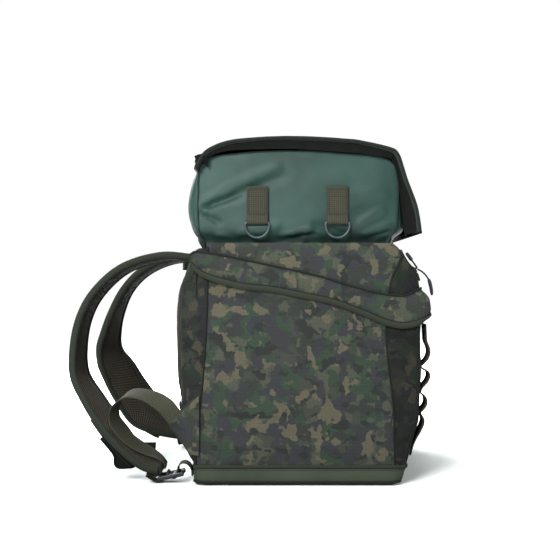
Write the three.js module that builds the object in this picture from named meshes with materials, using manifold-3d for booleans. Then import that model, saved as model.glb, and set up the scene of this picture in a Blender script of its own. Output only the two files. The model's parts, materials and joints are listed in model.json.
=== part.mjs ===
// A fishing tackle backpack: a boxy camouflage bag on a coated base boot, with a pull-up
// weather collar, a padded lid with a front flap, a zipped front pocket behind a yoke band,
// and two padded shoulder straps with webbing adjusters.
//
// Millimetres, +Z up. +X is the front of the bag and -X the wearer's back.
// The origin is the centre of the underside. The wearer's left is -Y.

import * as THREE from 'three';
import { mergeVertices } from 'three/addons/utils/BufferGeometryUtils.js';
import Module from 'manifold-3d';

const wasm = await Module();
wasm.setup();

// ---------------------------------------------------------------- driving dimensions

const GAP = 0.4;                    // clearance between pieces that are sewn or stacked together
const SHEET = 3;                    // a padded fabric wall

const HALF_WIDTH = 180;             // outer face of the side panels
const BAG_BACK = -140;              // back edge of the side panels
const BAG_FRONT = 133;              // front edge of the side panels
const MOUTH_Z = 340;                // top edge of the camouflage bag
const FLOOR_TOP = 3;                // inner face of the base boot's floor

const BOOT_TOP = 28;
const BOOT_BACK = -149;
const BOOT_FRONT = 150;
const BOOT_WALL = 3;

const POCKET_WALL = 4;
const POCKET_TOP_WALL = 3;

const YOKE_THICKNESS = 5;
const YOKE_BINDING = 8;

const COLLAR_BACK = -137.4;
const COLLAR_FRONT = 131;
const COLLAR_HALF_WIDTH = 170;
const COLLAR_FOOT = 300;

const LID_HALF_WIDTH = 181;
const LID_WALL = 5;
const SKIRT_OUTER = 177.5;          // outer face of the black gussets under the lid
const SKIRT_DEPTH = 18;

const WEBBING = 25;                 // width of the adjusters and the haul handle
const DAISY_WIDTH = 36;
const WEBBING_THICKNESS = 1.8;

const RING_WIRE = 3.4;
const RING_HALF_WIDTH = 17;         // to the middle of the wire
const RING_DROP = 21.5;             // pivot to the middle of the wire at the bottom
const RING_CORNER = 2.3;
const RING_PIVOT_Z = 369;
const RING_PLANE = 173.8;           // distance of the ring's plane from the middle of the bag
const TAB_WIDTH = 30;
const TAB_TOP = 419;
const TAB_THICKNESS = 1.4;
const TAB_X = { rear: -60, front: 53 };

const STRAP_WIDTH = 64;
const STRAP_END_WIDTH = 36;
const COVER_THICKNESS = 2.4;
const FOAM_THICKNESS = 6.4;
const MESH_THICKNESS = 2.4;

const LOCK_LENGTH = 38;
const LOCK_HALF_WIDTH = 17;
const LOCK_THICKNESS = 4.4;

const ZIP_HALF_LENGTH = 168;
const SLIDER_LENGTH = 12;
const PULLER_WIDTH = 6;
const PULLER_THICKNESS = 2.6;

const SIDES = [{ side: 'left', sign: -1 }, { side: 'right', sign: 1 }];

// ---------------------------------------------------------------- materials

function surface(colour, roughness, metalness) {
  return new THREE.MeshStandardMaterial({ color: colour, roughness, metalness });
}

const camo = () => surface(0x464b43, 0.85, 0);
const coatedGreen = () => surface(0x4a665f, 0.5, 0);
const coatedOlive = () => surface(0x4f5848, 0.55, 0);
const darkLining = () => surface(0x15181a, 0.9, 0);
const lidCloth = () => surface(0x3c4039, 0.75, 0);
const strapCloth = () => surface(0x353a31, 0.85, 0);
const spacerMesh = () => surface(0x4b443a, 0.95, 0);
const foam = () => surface(0x2a2a28, 0.95, 0);
const webbing = () => surface(0x50523f, 0.8, 0);
const blackPlastic = () => surface(0x1f2423, 0.45, 0);
const ringMetal = () => surface(0x76857f, 0.4, 0.8);
const boardPlastic = () => surface(0x2c2e2c, 0.7, 0);

// ---------------------------------------------------------------- shape helpers

const backpack = new THREE.Group();

function addPart(name, geometry, material) {
  const mesh = new THREE.Mesh(geometry, material);
  mesh.name = name;
  backpack.add(mesh);
}

// A closed outline in the XZ plane as a three.js shape.
function outline(points) {
  return new THREE.Shape(points.map(([x, z]) => new THREE.Vector2(x, z)));
}

// An XZ outline pushed along Y, from yLow to yHigh.
function slab(shape, yLow, yHigh) {
  const geometry = new THREE.ExtrudeGeometry(shape, { depth: yHigh - yLow, bevelEnabled: false });
  geometry.rotateX(Math.PI / 2);
  geometry.translate(0, yHigh, 0);
  return geometry;
}

// A slab on one side of the bag, between two distances from its middle.
function sideSlab(shape, sign, near, far) {
  return sign < 0 ? slab(shape, -far, -near) : slab(shape, near, far);
}

function box(xLow, xHigh, yLow, yHigh, zLow, zHigh) {
  const geometry = new THREE.BoxGeometry(xHigh - xLow, yHigh - yLow, zHigh - zLow);
  geometry.translate((xLow + xHigh) / 2, (yLow + yHigh) / 2, (zLow + zHigh) / 2);
  return geometry;
}

// A path moved sideways in the XZ plane. A path runs over the top towards the front and
// then down, and a positive distance moves it into the bag.
function shifted(path, distance) {
  return path.map(([x, z], i) => {
    const before = path[Math.max(i - 1, 0)];
    const after = path[Math.min(i + 1, path.length - 1)];
    const dx = after[0] - before[0];
    const dz = after[1] - before[1];
    const length = Math.hypot(dx, dz);
    return [x + (distance * dz) / length, z - (distance * dx) / length];
  });
}

// The outline of a wall that follows a path, between two distances into the bag.
function wall(path, outer, inner) {
  return outline([...shifted(path, outer), ...shifted(path, inner).reverse()]);
}

function signedVolume(positions, index) {
  const corner = [new THREE.Vector3(), new THREE.Vector3(), new THREE.Vector3()];
  let total = 0;
  for (let i = 0; i < index.length; i += 3) {
    corner.forEach((v, k) => v.fromArray(positions, 3 * index[i + k]));
    total += corner[0].dot(corner[1].clone().cross(corner[2]));
  }
  return total / 6;
}

// A closed skin over a row of convex rings of equal size. A loop joins its last ring to its first.
// Both faces of a twisted band split their quads along the same diagonal, so stacked bands stay apart.
function loft(rings, isLoop = false) {
  const size = rings[0].length;
  const positions = rings.flat().flatMap((v) => v.toArray());
  const index = [];
  const last = isLoop ? rings.length : rings.length - 1;
  for (let r = 0; r < last; r += 1) {
    const here = r * size;
    const next = ((r + 1) % rings.length) * size;
    for (let k = 0; k < size; k += 1) {
      const k2 = (k + 1) % size;
      if (k < size / 2) {
        index.push(here + k, next + k, next + k2, here + k, next + k2, here + k2);
      } else {
        index.push(here + k, next + k, here + k2, next + k, next + k2, here + k2);
      }
    }
  }
  if (!isLoop) {
    const end = (rings.length - 1) * size;
    for (let k = 1; k < size - 1; k += 1) {
      index.push(0, k, k + 1);
      index.push(end, end + k + 1, end + k);
    }
  }
  if (signedVolume(positions, index) < 0) {
    index.reverse();
  }
  const geometry = new THREE.BufferGeometry();
  geometry.setAttribute('position', new THREE.Float32BufferAttribute(positions, 3));
  geometry.setIndex(index);
  return geometry;
}

function between(list, t) {
  const place = t * (list.length - 1);
  const i = Math.min(Math.floor(place), list.length - 2);
  return { from: list[i], to: list[i + 1], part: place - i };
}

function numberAt(list, t) {
  const { from, to, part } = between(list, t);
  return from + (to - from) * part;
}

function vectorAt(list, t) {
  const { from, to, part } = between(list, t);
  return from.clone().lerp(to, part).normalize();
}

const ACROSS = new THREE.Vector3(0, 1, 0);

// A flat band along a smooth route. Each station's width direction comes from widthAt(t, tangent),
// and low and high are its two faces' distances from the route, along its own normal.
function band(points, steps, { widthAt, halfWidthAt, low, high }) {
  const route = new THREE.CatmullRomCurve3(points, false, 'centripetal');
  const rings = [];
  for (let i = 0; i <= steps; i += 1) {
    const t = i / steps;
    const centre = route.getPoint(t);
    const tangent = route.getTangent(t);
    const across = widthAt(t, tangent);
    const normal = new THREE.Vector3().crossVectors(across, tangent).normalize();
    const half = halfWidthAt(t);
    const place = (w, n) => centre.clone().addScaledVector(across, w).addScaledVector(normal, n);
    rings.push([place(-half, low), place(half, low), place(half, high), place(-half, high)]);
  }
  return loft(rings);
}

// A webbing band in an XZ route at one place across the bag.
function flatWebbing(route, y, width, thickness, steps) {
  const points = route.map(([x, z]) => new THREE.Vector3(x, y, z));
  return band(points, steps, {
    widthAt: () => ACROSS.clone(),
    halfWidthAt: () => width / 2,
    low: -thickness / 2,
    high: thickness / 2,
  });
}

function toSolid(geometry) {
  const bare = geometry.clone();
  bare.deleteAttribute('normal');
  bare.deleteAttribute('uv');
  const merged = mergeVertices(bare);
  const vertProperties = new Float32Array(merged.attributes.position.array);
  const triVerts = new Uint32Array(merged.index.array);
  return new wasm.Manifold(new wasm.Mesh({ numProp: 3, vertProperties, triVerts }));
}

function toGeometry(solid) {
  const mesh = solid.getMesh();
  const geometry = new THREE.BufferGeometry();
  geometry.setAttribute('position', new THREE.BufferAttribute(mesh.vertProperties, 3));
  geometry.setIndex(new THREE.BufferAttribute(mesh.triVerts, 1));
  return geometry;
}

// ---------------------------------------------------------------- base

function baseBoot() {
  const profile = outline([
    [BOOT_BACK, 8], [BOOT_BACK + 3, 2.5], [BOOT_BACK + 9, 0], [BOOT_FRONT - 18, 0],
    [BOOT_FRONT - 10, 3], [BOOT_FRONT - 6, 10], [BOOT_FRONT, BOOT_TOP], [BOOT_BACK, BOOT_TOP],
  ]);
  const outerHalf = HALF_WIDTH + GAP + BOOT_WALL;
  const hollowHalf = HALF_WIDTH + GAP;
  const hollowProfile = outline([
    [BOOT_BACK + BOOT_WALL, 9], [BOOT_BACK + 8, FLOOR_TOP], [BOOT_FRONT - 17, FLOOR_TOP],
    [BOOT_FRONT - 9.5, 10], [BOOT_FRONT - BOOT_WALL, BOOT_TOP], [BOOT_FRONT - BOOT_WALL, BOOT_TOP + 9],
    [BOOT_BACK + BOOT_WALL, BOOT_TOP + 9],
  ]);
  const shell = toSolid(slab(profile, -outerHalf, outerHalf));
  return toGeometry(shell.subtract(toSolid(slab(hollowProfile, -hollowHalf, hollowHalf))));
}

addPart('base_boot', baseBoot(), coatedOlive());
const boardHalf = HALF_WIDTH - 6;
addPart('base_board',
  box(BAG_BACK + 6, BAG_FRONT - 3, -boardHalf, boardHalf, FLOOR_TOP + GAP, FLOOR_TOP + GAP + SHEET),
  boardPlastic());

// ---------------------------------------------------------------- main compartment

const PANEL_FOOT = 10;
const BACK_PANEL_TOP = 332;
const FRONT_PANEL_TOP = 327;
const BACK_PANEL_THICKNESS = 3.6;

function sidePanelShape() {
  return outline([
    [BAG_BACK, PANEL_FOOT], [BAG_FRONT, PANEL_FOOT], [BAG_FRONT, 334], [BAG_FRONT - 4, MOUTH_Z],
    [-131, MOUTH_Z], [BAG_BACK, 333],
  ]);
}

function backPadShape() {
  return outline([
    [-144.4, 29], [-155.5, 29], [-160, 61], [-166, 117], [-167, 180], [-167, 250],
    [-163, 285], [-151, 319], [-144.4, 331],
  ]);
}

for (const { side, sign } of SIDES) {
  const panel = sideSlab(sidePanelShape(), sign, HALF_WIDTH - SHEET, HALF_WIDTH);
  addPart(`${side}_side_panel`, panel, camo());
}
const backPanelFront = BAG_BACK - GAP;
addPart('back_panel',
  box(backPanelFront - BACK_PANEL_THICKNESS, backPanelFront, -HALF_WIDTH, HALF_WIDTH,
    PANEL_FOOT, BACK_PANEL_TOP), camo());
addPart('back_pad', slab(backPadShape(), -HALF_WIDTH + 2, HALF_WIDTH - 2), camo());
addPart('front_panel',
  box(BAG_FRONT + GAP, BAG_FRONT + GAP + SHEET, -HALF_WIDTH, HALF_WIDTH,
    PANEL_FOOT, FRONT_PANEL_TOP), camo());

// ---------------------------------------------------------------- front pocket

const POCKET_FACE = [
  [167.3, 288], [169.5, 280], [169.5, 112], [167, 90], [161, 68], [154, 42], [150, 29],
];
const POCKET_SLOPE = [[137, 334.5], [142, 331], [150, 315], [165.5, 294]];
const ZIP_LINE = [[157.7, 304.5], [165, 294.7]];
const ZIP_TOP = 2.4;                 // height of the zip's outer face over the slope
const SLIDER_TOP = 7.2;

function pocketGussetShape() {
  const back = BAG_FRONT + SHEET + 2 * GAP;
  const slope = shifted(POCKET_SLOPE, POCKET_TOP_WALL + 2 * GAP).slice(1);
  const face = shifted(POCKET_FACE, POCKET_WALL + 2 * GAP);
  return outline([
    [back, PANEL_FOOT], [BOOT_FRONT - 11, PANEL_FOOT], [BOOT_FRONT - 6, BOOT_TOP],
    ...face.slice(1).reverse(), ...slope.reverse(), [back, FRONT_PANEL_TOP],
  ]);
}

addPart('pocket_front', slab(wall(POCKET_FACE, 0, POCKET_WALL), -HALF_WIDTH, HALF_WIDTH), camo());
addPart('pocket_top', slab(wall(POCKET_SLOPE, 0, POCKET_TOP_WALL), -HALF_WIDTH, HALF_WIDTH), camo());
for (const { side, sign } of SIDES) {
  const gusset = sideSlab(pocketGussetShape(), sign, HALF_WIDTH - SHEET, HALF_WIDTH);
  addPart(`pocket_${side}_gusset`, gusset, camo());
}
addPart('pocket_zip',
  slab(wall(ZIP_LINE, -ZIP_TOP, -GAP), -ZIP_HALF_LENGTH, ZIP_HALF_LENGTH), blackPlastic());

// ---------------------------------------------------------------- zip sliders and pullers

const SLIDER_LINE = [[158.8, 303], [164, 296]];
const SLIDERS = [
  { name: 'left', y: -146, pull: [[168.4, 305.8], [160, 317], [153, 327]] },
  { name: 'right', y: -132, pull: [[169.6, 304.4], [186.5, 290], [192, 266]] },
];

function pullShape(route) {
  return wall(route, -PULLER_THICKNESS / 2, PULLER_THICKNESS / 2);
}

for (const { name, y, pull } of SLIDERS) {
  const half = SLIDER_LENGTH / 2;
  const sliderShape = wall(SLIDER_LINE, -SLIDER_TOP, -ZIP_TOP - GAP);
  addPart(`${name}_zip_slider`, slab(sliderShape, y - half, y + half), blackPlastic());
  const halfPull = PULLER_WIDTH / 2;
  addPart(`${name}_zip_puller`, slab(pullShape(pull), y - halfPull, y + halfPull), blackPlastic());
}

// ---------------------------------------------------------------- yoke round the bag

const YOKE_LOWER = [
  [-154, 307], [-143, 296], [-128, 288], [-106, 281], [-80, 275], [-43, 271], [0, 263],
  [50, 252], [90, 237], [125, 223], [144, 221], [169.8, 225],
];
const YOKE_UPPER = [
  [-146, 329], [-134, 326], [-102, 321], [-60, 312], [-13, 302], [31, 292], [66, 281],
  [107, 270], [125, 267], [150, 267], [169.8, 276],
];
const YOKE_FRONT = [
  [170.4, 228], [178.5, 230.5], [184.5, 236], [186, 243], [183.5, 256], [178, 267], [170.4, 277],
];

for (const { side, sign } of SIDES) {
  const near = HALF_WIDTH + 1.5 * GAP;
  const wingFoot = shifted(YOKE_LOWER, -YOKE_BINDING - GAP);
  const wing = outline([...YOKE_UPPER, ...wingFoot.reverse()]);
  addPart(`${side}_yoke_wing`, sideSlab(wing, sign, near, near + YOKE_THICKNESS), camo());
  const binding = wall(YOKE_LOWER, -YOKE_BINDING, 0);
  addPart(`${side}_yoke_binding`, sideSlab(binding, sign, near, near + YOKE_THICKNESS), webbing());
}
const frontBandHalf = HALF_WIDTH + YOKE_THICKNESS + 1;
addPart('front_yoke_band', slab(outline(YOKE_FRONT), -frontBandHalf, frontBandHalf), camo());

// ---------------------------------------------------------------- daisy chains

const DAISY_Y = 148;
const DAISY_ROUTE = [
  [177.8, 225.5], [178.6, 212], [179.5, 201], [183, 192], [184, 184.5], [181, 176], [175, 169.5],
  [171.5, 166], [175.5, 161.5], [182, 158], [183.8, 152], [181, 144], [175, 137.5], [171.4, 131.5],
  [171.4, 128.5], [176, 124.5], [179.6, 118.5], [179, 111], [174.5, 104.5], [170.7, 100],
  [173, 95.5], [175.4, 90.5], [175, 84.5], [170.5, 74], [164.5, 64], [160, 54], [156.2, 40],
];

for (const { side, sign } of SIDES) {
  const chain = flatWebbing(DAISY_ROUTE, sign * DAISY_Y, DAISY_WIDTH, WEBBING_THICKNESS, 80);
  addPart(`${side}_daisy_chain`, chain, webbing());
}

// ---------------------------------------------------------------- haul handle

const HANDLE_Z = 316;
const HANDLE_THICKNESS = 2.4;

function haulHandle() {
  const halfSpan = 40;
  const route = [
    [-158.6, -halfSpan], [-164, -halfSpan + 5], [-175, -24], [-180, 0],
    [-175, 24], [-164, halfSpan - 5], [-158.6, halfSpan],
  ];
  const points = route.map(([x, y]) => new THREE.Vector3(x, y, HANDLE_Z));
  return band(points, 24, {
    widthAt: () => new THREE.Vector3(0, 0, 1),
    halfWidthAt: () => WEBBING / 2,
    low: -HANDLE_THICKNESS / 2,
    high: HANDLE_THICKNESS / 2,
  });
}

addPart('haul_handle', haulHandle(), webbing());

// ---------------------------------------------------------------- weather collar

const COLLAR_TOP = [[-131, 450], [-125, 456], [-42, 467], [18, 466], [92, 460], [120, 455], [131, 446]];

for (const { side, sign } of SIDES) {
  const shape = outline([...COLLAR_TOP, [COLLAR_FRONT, COLLAR_FOOT], [-134, COLLAR_FOOT], [-134, 446]]);
  const panel = sideSlab(shape, sign, COLLAR_HALF_WIDTH - SHEET, COLLAR_HALF_WIDTH);
  addPart(`collar_${side}_side`, panel, coatedGreen());
}
const COLLAR_END_TOP = 446;
const collarEndHalf = COLLAR_HALF_WIDTH - SHEET - GAP;
addPart('collar_front',
  box(COLLAR_FRONT - SHEET, COLLAR_FRONT, -collarEndHalf, collarEndHalf,
    COLLAR_FOOT, COLLAR_END_TOP), coatedGreen());
addPart('collar_back',
  box(COLLAR_BACK, COLLAR_BACK + SHEET, -COLLAR_HALF_WIDTH, COLLAR_HALF_WIDTH,
    COLLAR_FOOT, COLLAR_END_TOP), coatedGreen());

// ---------------------------------------------------------------- D-rings on their tabs

// A folded webbing tab, closed round the ring's bar. The route is distance from the bag's
// middle and height, and half a turn passes under the bar.
function ringTab(x, sign) {
  const turnRadius = RING_WIRE / 2 + GAP + TAB_THICKNESS / 2;
  const innerLayer = COLLAR_HALF_WIDTH + GAP + TAB_THICKNESS / 2;
  const outerLayer = innerLayer + TAB_THICKNESS + GAP;
  const route = [[innerLayer, TAB_TOP], [innerLayer, RING_PIVOT_Z + 12], [innerLayer, RING_PIVOT_Z + 4]];
  for (let degrees = 180; degrees <= 360; degrees += 30) {
    const angle = THREE.MathUtils.degToRad(degrees);
    const away = RING_PLANE + turnRadius * Math.cos(angle);
    route.push([away, RING_PIVOT_Z + turnRadius * Math.sin(angle)]);
  }
  route.push([RING_PLANE + turnRadius - 0.5, RING_PIVOT_Z + 3.4]);
  route.push([outerLayer + 0.3, RING_PIVOT_Z + 8.5]);
  route.push([outerLayer, RING_PIVOT_Z + 13]);
  route.push([outerLayer, TAB_TOP]);
  const points = route.map(([away, z]) => new THREE.Vector3(x, sign * away, z));
  return band(points, 34, {
    widthAt: () => new THREE.Vector3(1, 0, 0),
    halfWidthAt: () => TAB_WIDTH / 2,
    low: -TAB_THICKNESS / 2,
    high: TAB_THICKNESS / 2,
  });
}

// The D-ring's wire: a straight bar on the pivot line, two tight corners and a half ellipse.
function dRing(x, sign) {
  const barHalf = RING_HALF_WIDTH - RING_CORNER;
  const centreLine = [[-barHalf, 0], [barHalf, 0]];
  for (const degrees of [60, 30]) {
    const angle = THREE.MathUtils.degToRad(degrees);
    centreLine.push([barHalf + RING_CORNER * Math.cos(angle), RING_CORNER * (Math.sin(angle) - 1)]);
  }
  const bowSteps = 12;
  for (let i = 0; i <= bowSteps; i += 1) {
    const angle = (Math.PI * i) / bowSteps;
    const drop = RING_CORNER + (RING_DROP - RING_CORNER) * Math.sin(angle);
    centreLine.push([RING_HALF_WIDTH * Math.cos(angle), -drop]);
  }
  for (const degrees of [30, 60]) {
    const angle = THREE.MathUtils.degToRad(degrees);
    centreLine.push([-barHalf - RING_CORNER * Math.cos(angle), RING_CORNER * (Math.sin(angle) - 1)]);
  }
  const sides = 6;
  const rings = centreLine.map(([u, v], i) => {
    const before = centreLine[(i + centreLine.length - 1) % centreLine.length];
    const after = centreLine[(i + 1) % centreLine.length];
    const along = new THREE.Vector2(after[0] - before[0], after[1] - before[1]).normalize();
    return Array.from({ length: sides }, (_, k) => {
      const angle = (2 * Math.PI * k) / sides;
      const inPlane = (RING_WIRE / 2) * Math.cos(angle);
      const throughPlane = (RING_WIRE / 2) * Math.sin(angle);
      return new THREE.Vector3(
        x + u - inPlane * along.y,
        sign * RING_PLANE + throughPlane,
        RING_PIVOT_Z + v + inPlane * along.x,
      );
    });
  });
  return loft(rings, true);
}

for (const { side, sign } of SIDES) {
  for (const [place, x] of Object.entries(TAB_X)) {
    addPart(`${side}_${place}_ring_tab`, ringTab(x, sign), webbing());
    addPart(`${side}_${place}_d_ring`, dRing(x, sign), ringMetal());
  }
}

// ---------------------------------------------------------------- lid and front flap

const LID_LINE = [
  [-148.5, 445], [-142, 459], [-133, 470], [-114, 480], [-95, 485], [-67, 488], [-20, 490],
  [30, 488.5], [84, 484], [116, 477], [128, 473.5],
];
const FLAP_LINE = [
  [134.5, 471.5], [140.5, 463], [146.5, 445], [151.5, 429], [158, 412], [164.5, 394], [169, 372],
  [171, 356],
];
const FLAP_SKIRT_EDGE = [[146.5, 350], [143, 385], [139, 420], [134, 446]];

addPart('lid_top', slab(wall(LID_LINE, 0, LID_WALL), -LID_HALF_WIDTH, LID_HALF_WIDTH), lidCloth());
addPart('lid_flap', slab(wall(FLAP_LINE, 0, LID_WALL), -LID_HALF_WIDTH, LID_HALF_WIDTH), lidCloth());
for (const { side, sign } of SIDES) {
  const skirt = wall(LID_LINE.slice(2), LID_WALL + GAP, SKIRT_DEPTH);
  addPart(`lid_${side}_gusset`, sideSlab(skirt, sign, SKIRT_OUTER - SHEET, SKIRT_OUTER), darkLining());
  const flapInside = shifted(FLAP_LINE, LID_WALL + GAP).slice(2);
  const flapSkirt = outline([...flapInside, ...FLAP_SKIRT_EDGE]);
  addPart(`flap_${side}_gusset`, sideSlab(flapSkirt, sign, SKIRT_OUTER - SHEET, SKIRT_OUTER), darkLining());
}
const HOOK_STRIP_LINE = [[167.6, 380], [170.6, 358]];
const HOOK_STRIP_HALF = 150;
addPart('flap_hook_strip',
  slab(wall(HOOK_STRIP_LINE, LID_WALL + 1, LID_WALL + 3.4), -HOOK_STRIP_HALF, HOOK_STRIP_HALF), darkLining());

// ---------------------------------------------------------------- shoulder straps

// Each strap's middle line, from its seam at the top to its lower end, and how far it is
// rolled about that line at each point, in degrees. The two hang a little differently.
const STRAPS = {
  left: {
    route: [
      [-154.8, -76, 321], [-203, -77, 323], [-261, -80, 304.5], [-300.5, -85, 268], [-318.5, -90, 233],
      [-325.5, -98, 190], [-321.5, -108, 150], [-300, -120, 114], [-273, -133, 79], [-246, -143, 49.5],
      [-230, -147.5, 35.5], [-213, -150.5, 26], [-198.5, -152, 22],
    ],
    roll: [0, 2, 3, 3, 3, 4, 6, 10, 12, 12, 13, 15, 12],
  },
  right: {
    route: [
      [-154.8, 76, 321], [-203, 77, 322], [-250, 79, 303], [-281, 83, 272], [-300, 88, 234],
      [-310, 93, 202], [-314.5, 98, 177], [-310.3, 102, 154], [-298, 108, 132], [-281, 115, 101],
      [-260, 122, 70], [-239, 129, 53], [-219, 137, 39], [-206, 142, 29],
    ],
    roll: [0, 3, 4, 4, 8, 14, 22, 32, 45, 52, 61, 52, 34, 14],
  },
};

function strapLayer({ route, roll }, low, high) {
  const points = route.map((p) => new THREE.Vector3(...p));
  const fullWidthUntil = 0.82;
  return band(points, 30, {
    widthAt: (t, tangent) => {
      const turned = THREE.MathUtils.degToRad(numberAt(roll, t));
      const inward = new THREE.Vector3().crossVectors(tangent, ACROSS).normalize();
      const across = ACROSS.clone().multiplyScalar(Math.cos(turned));
      across.addScaledVector(inward, Math.sin(turned));
      return across.addScaledVector(tangent, -across.dot(tangent)).normalize();
    },
    halfWidthAt: (t) => {
      const taper = Math.max(0, (t - fullWidthUntil) / (1 - fullWidthUntil));
      return (STRAP_WIDTH + (STRAP_END_WIDTH - STRAP_WIDTH) * taper) / 2;
    },
    low,
    high,
  });
}

const STRAP_HALF = (COVER_THICKNESS + FOAM_THICKNESS + MESH_THICKNESS + 2 * GAP) / 2;
const COVER_LOW = STRAP_HALF - COVER_THICKNESS;
const FOAM_LOW = COVER_LOW - GAP - FOAM_THICKNESS;

for (const { side } of SIDES) {
  addPart(`${side}_strap_cover`, strapLayer(STRAPS[side], COVER_LOW, STRAP_HALF), strapCloth());
  addPart(`${side}_strap_foam`, strapLayer(STRAPS[side], FOAM_LOW, COVER_LOW - GAP), foam());
  addPart(`${side}_strap_mesh`, strapLayer(STRAPS[side], -STRAP_HALF, FOAM_LOW - GAP), spacerMesh());
}

// ---------------------------------------------------------------- ladder locks and adjusters

// A lock's own plane runs along the webbing (u) and out of the frame (w).
const LOCKS = {
  left: { pivot: [-201, -152, 6.5], tilt: 12 },
  right: { pivot: [-198, 148, 12], tilt: 2 },
};

function lockPoint({ pivot, tilt }, u, w) {
  const angle = THREE.MathUtils.degToRad(tilt);
  const x = pivot[0] + u * Math.cos(angle) - w * Math.sin(angle);
  const z = pivot[2] + u * Math.sin(angle) + w * Math.cos(angle);
  return new THREE.Vector3(x, pivot[1], z);
}

// The frame seen from above, with one slot for the sewn loop and two for the adjuster.
function ladderLock(lock) {
  const shape = outline([
    [0, -LOCK_HALF_WIDTH + 2], [2, -LOCK_HALF_WIDTH], [LOCK_LENGTH - 3, -LOCK_HALF_WIDTH],
    [LOCK_LENGTH, -LOCK_HALF_WIDTH + 4], [LOCK_LENGTH, LOCK_HALF_WIDTH - 4],
    [LOCK_LENGTH - 3, LOCK_HALF_WIDTH], [2, LOCK_HALF_WIDTH], [0, LOCK_HALF_WIDTH - 2],
  ]);
  const frame = new THREE.ExtrudeGeometry(shape, { depth: LOCK_THICKNESS, bevelEnabled: false });
  frame.translate(0, 0, -LOCK_THICKNESS / 2);
  const slotHalf = WEBBING / 2 + 1;
  let solid = toSolid(frame);
  for (const start of [4.5, 15, 25.5]) {
    const slot = box(start, start + 6, -slotHalf, slotHalf, -LOCK_THICKNESS, LOCK_THICKNESS);
    solid = solid.subtract(toSolid(slot));
  }
  const geometry = toGeometry(solid);
  geometry.rotateY(-THREE.MathUtils.degToRad(lock.tilt));
  geometry.translate(...lock.pivot);
  return geometry;
}

// Where each loop is sewn to its strap's end, and its width direction there.
const LOOP_ROOTS = {
  left: { at: [-218, -152, 12], across: [0, 1, 0] },
  right: { at: [-203.2, 143.1, 27], across: [-0.07, 0.93, 0.37] },
};
const LOOP_TURN_SHARE = 0.5;         // the share of each layer that turns to the lock's direction
const LOOP_SPREAD = 1.6;             // half the space between the loop's two layers there
const LOOP_THICKNESS = 1.4;

// The sewn loop from the strap's end, round the lock's first bar and back.
function lockLoop(lock, root) {
  const start = new THREE.Vector3(...root.at);
  const across = new THREE.Vector3(...root.across);
  const along = new THREE.Vector3(...lock.pivot).sub(start).normalize();
  const up = new THREE.Vector3().crossVectors(along, ACROSS).normalize();
  const turn = [[-3, 3.8], [2, 4.1], [6, 3.4], [7.6, 0], [6, -3.6], [2, -4.7], [-3, -4.4]];
  const points = turn.map(([u, w]) => lockPoint(lock, u, w));
  points.unshift(start.clone().addScaledVector(up, LOOP_SPREAD));
  points.push(start.clone().addScaledVector(up, -LOOP_SPREAD));
  return band(points, 24, {
    widthAt: (t, tangent) => {
      const nearRoot = Math.max(0, (Math.abs(2 * t - 1) - 1 + LOOP_TURN_SHARE) / LOOP_TURN_SHARE);
      const wanted = ACROSS.clone().lerp(across, nearRoot);
      return wanted.addScaledVector(tangent, -wanted.dot(tangent)).normalize();
    },
    halfWidthAt: () => WEBBING / 2,
    low: -LOOP_THICKNESS / 2,
    high: LOOP_THICKNESS / 2,
  });
}

// The adjuster leaves its wing flat against the bag's side, turns over in an open loop, and
// threads its lock under the middle bar. Each point holds its width direction.
const ADJUSTERS = {
  left: [
    { at: [-177.3, -182.3, 98.4], across: [-0.753, 0, -0.659] },
    { at: [-189, -181, 112], across: [-0.72, -0.25, -0.65] },
    { at: [-213, -174, 125], across: [-0.5, -0.7, -0.5] },
    { at: [-242, -163, 127], across: [-0.42, -0.82, -0.4] },
    { at: [-261, -157, 111], across: [-0.45, -0.8, -0.38] },
    { at: [-264, -154, 90], across: [-0.45, -0.8, -0.38] },
    { at: [-252, -152, 69], across: [-0.42, -0.82, -0.36] },
    { at: [-232, -152, 53], across: [-0.38, -0.86, -0.33] },
    { at: [-214, -152, 43.5], across: [-0.28, -0.93, -0.25] },
    { at: [-201, -152, 36.5], across: [-0.12, -0.98, -0.1] },
    { at: [-192.5, -152, 29], across: [0, -1, 0] },
  ],
  right: [
    { at: [-177.3, 182.3, 98.4], across: [-0.753, 0, -0.659] },
    { at: [-186, 184.5, 107], across: [-0.72, 0.25, -0.65] },
    { at: [-196, 186, 107], across: [-0.5, 0.7, -0.5] },
    { at: [-204, 186, 97], across: [-0.2, 0.95, -0.2] },
    { at: [-209, 184, 82], across: [-0.1, 1, -0.1] },
    { at: [-207, 180, 68], across: [0, 1, 0] },
    { at: [-200, 173, 56], across: [0, 1, 0] },
    { at: [-191, 160, 45], across: [0, 1, 0] },
    { at: [-186.5, 150, 33], across: [0, 1, 0] },
  ],
};
const ADJUSTER_END = [12.5, 11.5];

// The webbing's run through the lock, under its middle bar, and the free tail beyond it.
const THREADING = [
  [13.6, 8.6], [15.6, 4.4], [18, 0], [20.3, -3.6], [23.2, -4.4], [26.2, -3.6], [28.5, 0], [31.5, 4.6],
];
const TAILS = {
  left: [[36, 8.4], [40.5, 11.6], [44.5, 12.6], [48, 10], [49.4, 4], [48.6, -6]],
  right: [[35, 6.6], [38.5, 5.6], [40.5, 2], [41, -3], [40.5, -9]],
};
const THREADED_THICKNESS = WEBBING_THICKNESS - 0.6;

function adjusterWebbing(lock, free, sign) {
  const points = [...free.map(({ at }) => new THREE.Vector3(...at)), lockPoint(lock, ...ADJUSTER_END)];
  const across = [...free.map((p) => new THREE.Vector3(...p.across)), new THREE.Vector3(0, sign, 0)];
  return band(points, 48, {
    widthAt: (t, tangent) => {
      const wanted = vectorAt(across, t);
      return wanted.addScaledVector(tangent, -wanted.dot(tangent)).normalize();
    },
    halfWidthAt: () => WEBBING / 2,
    low: -THREADED_THICKNESS / 2,
    high: THREADED_THICKNESS / 2,
  });
}

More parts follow.
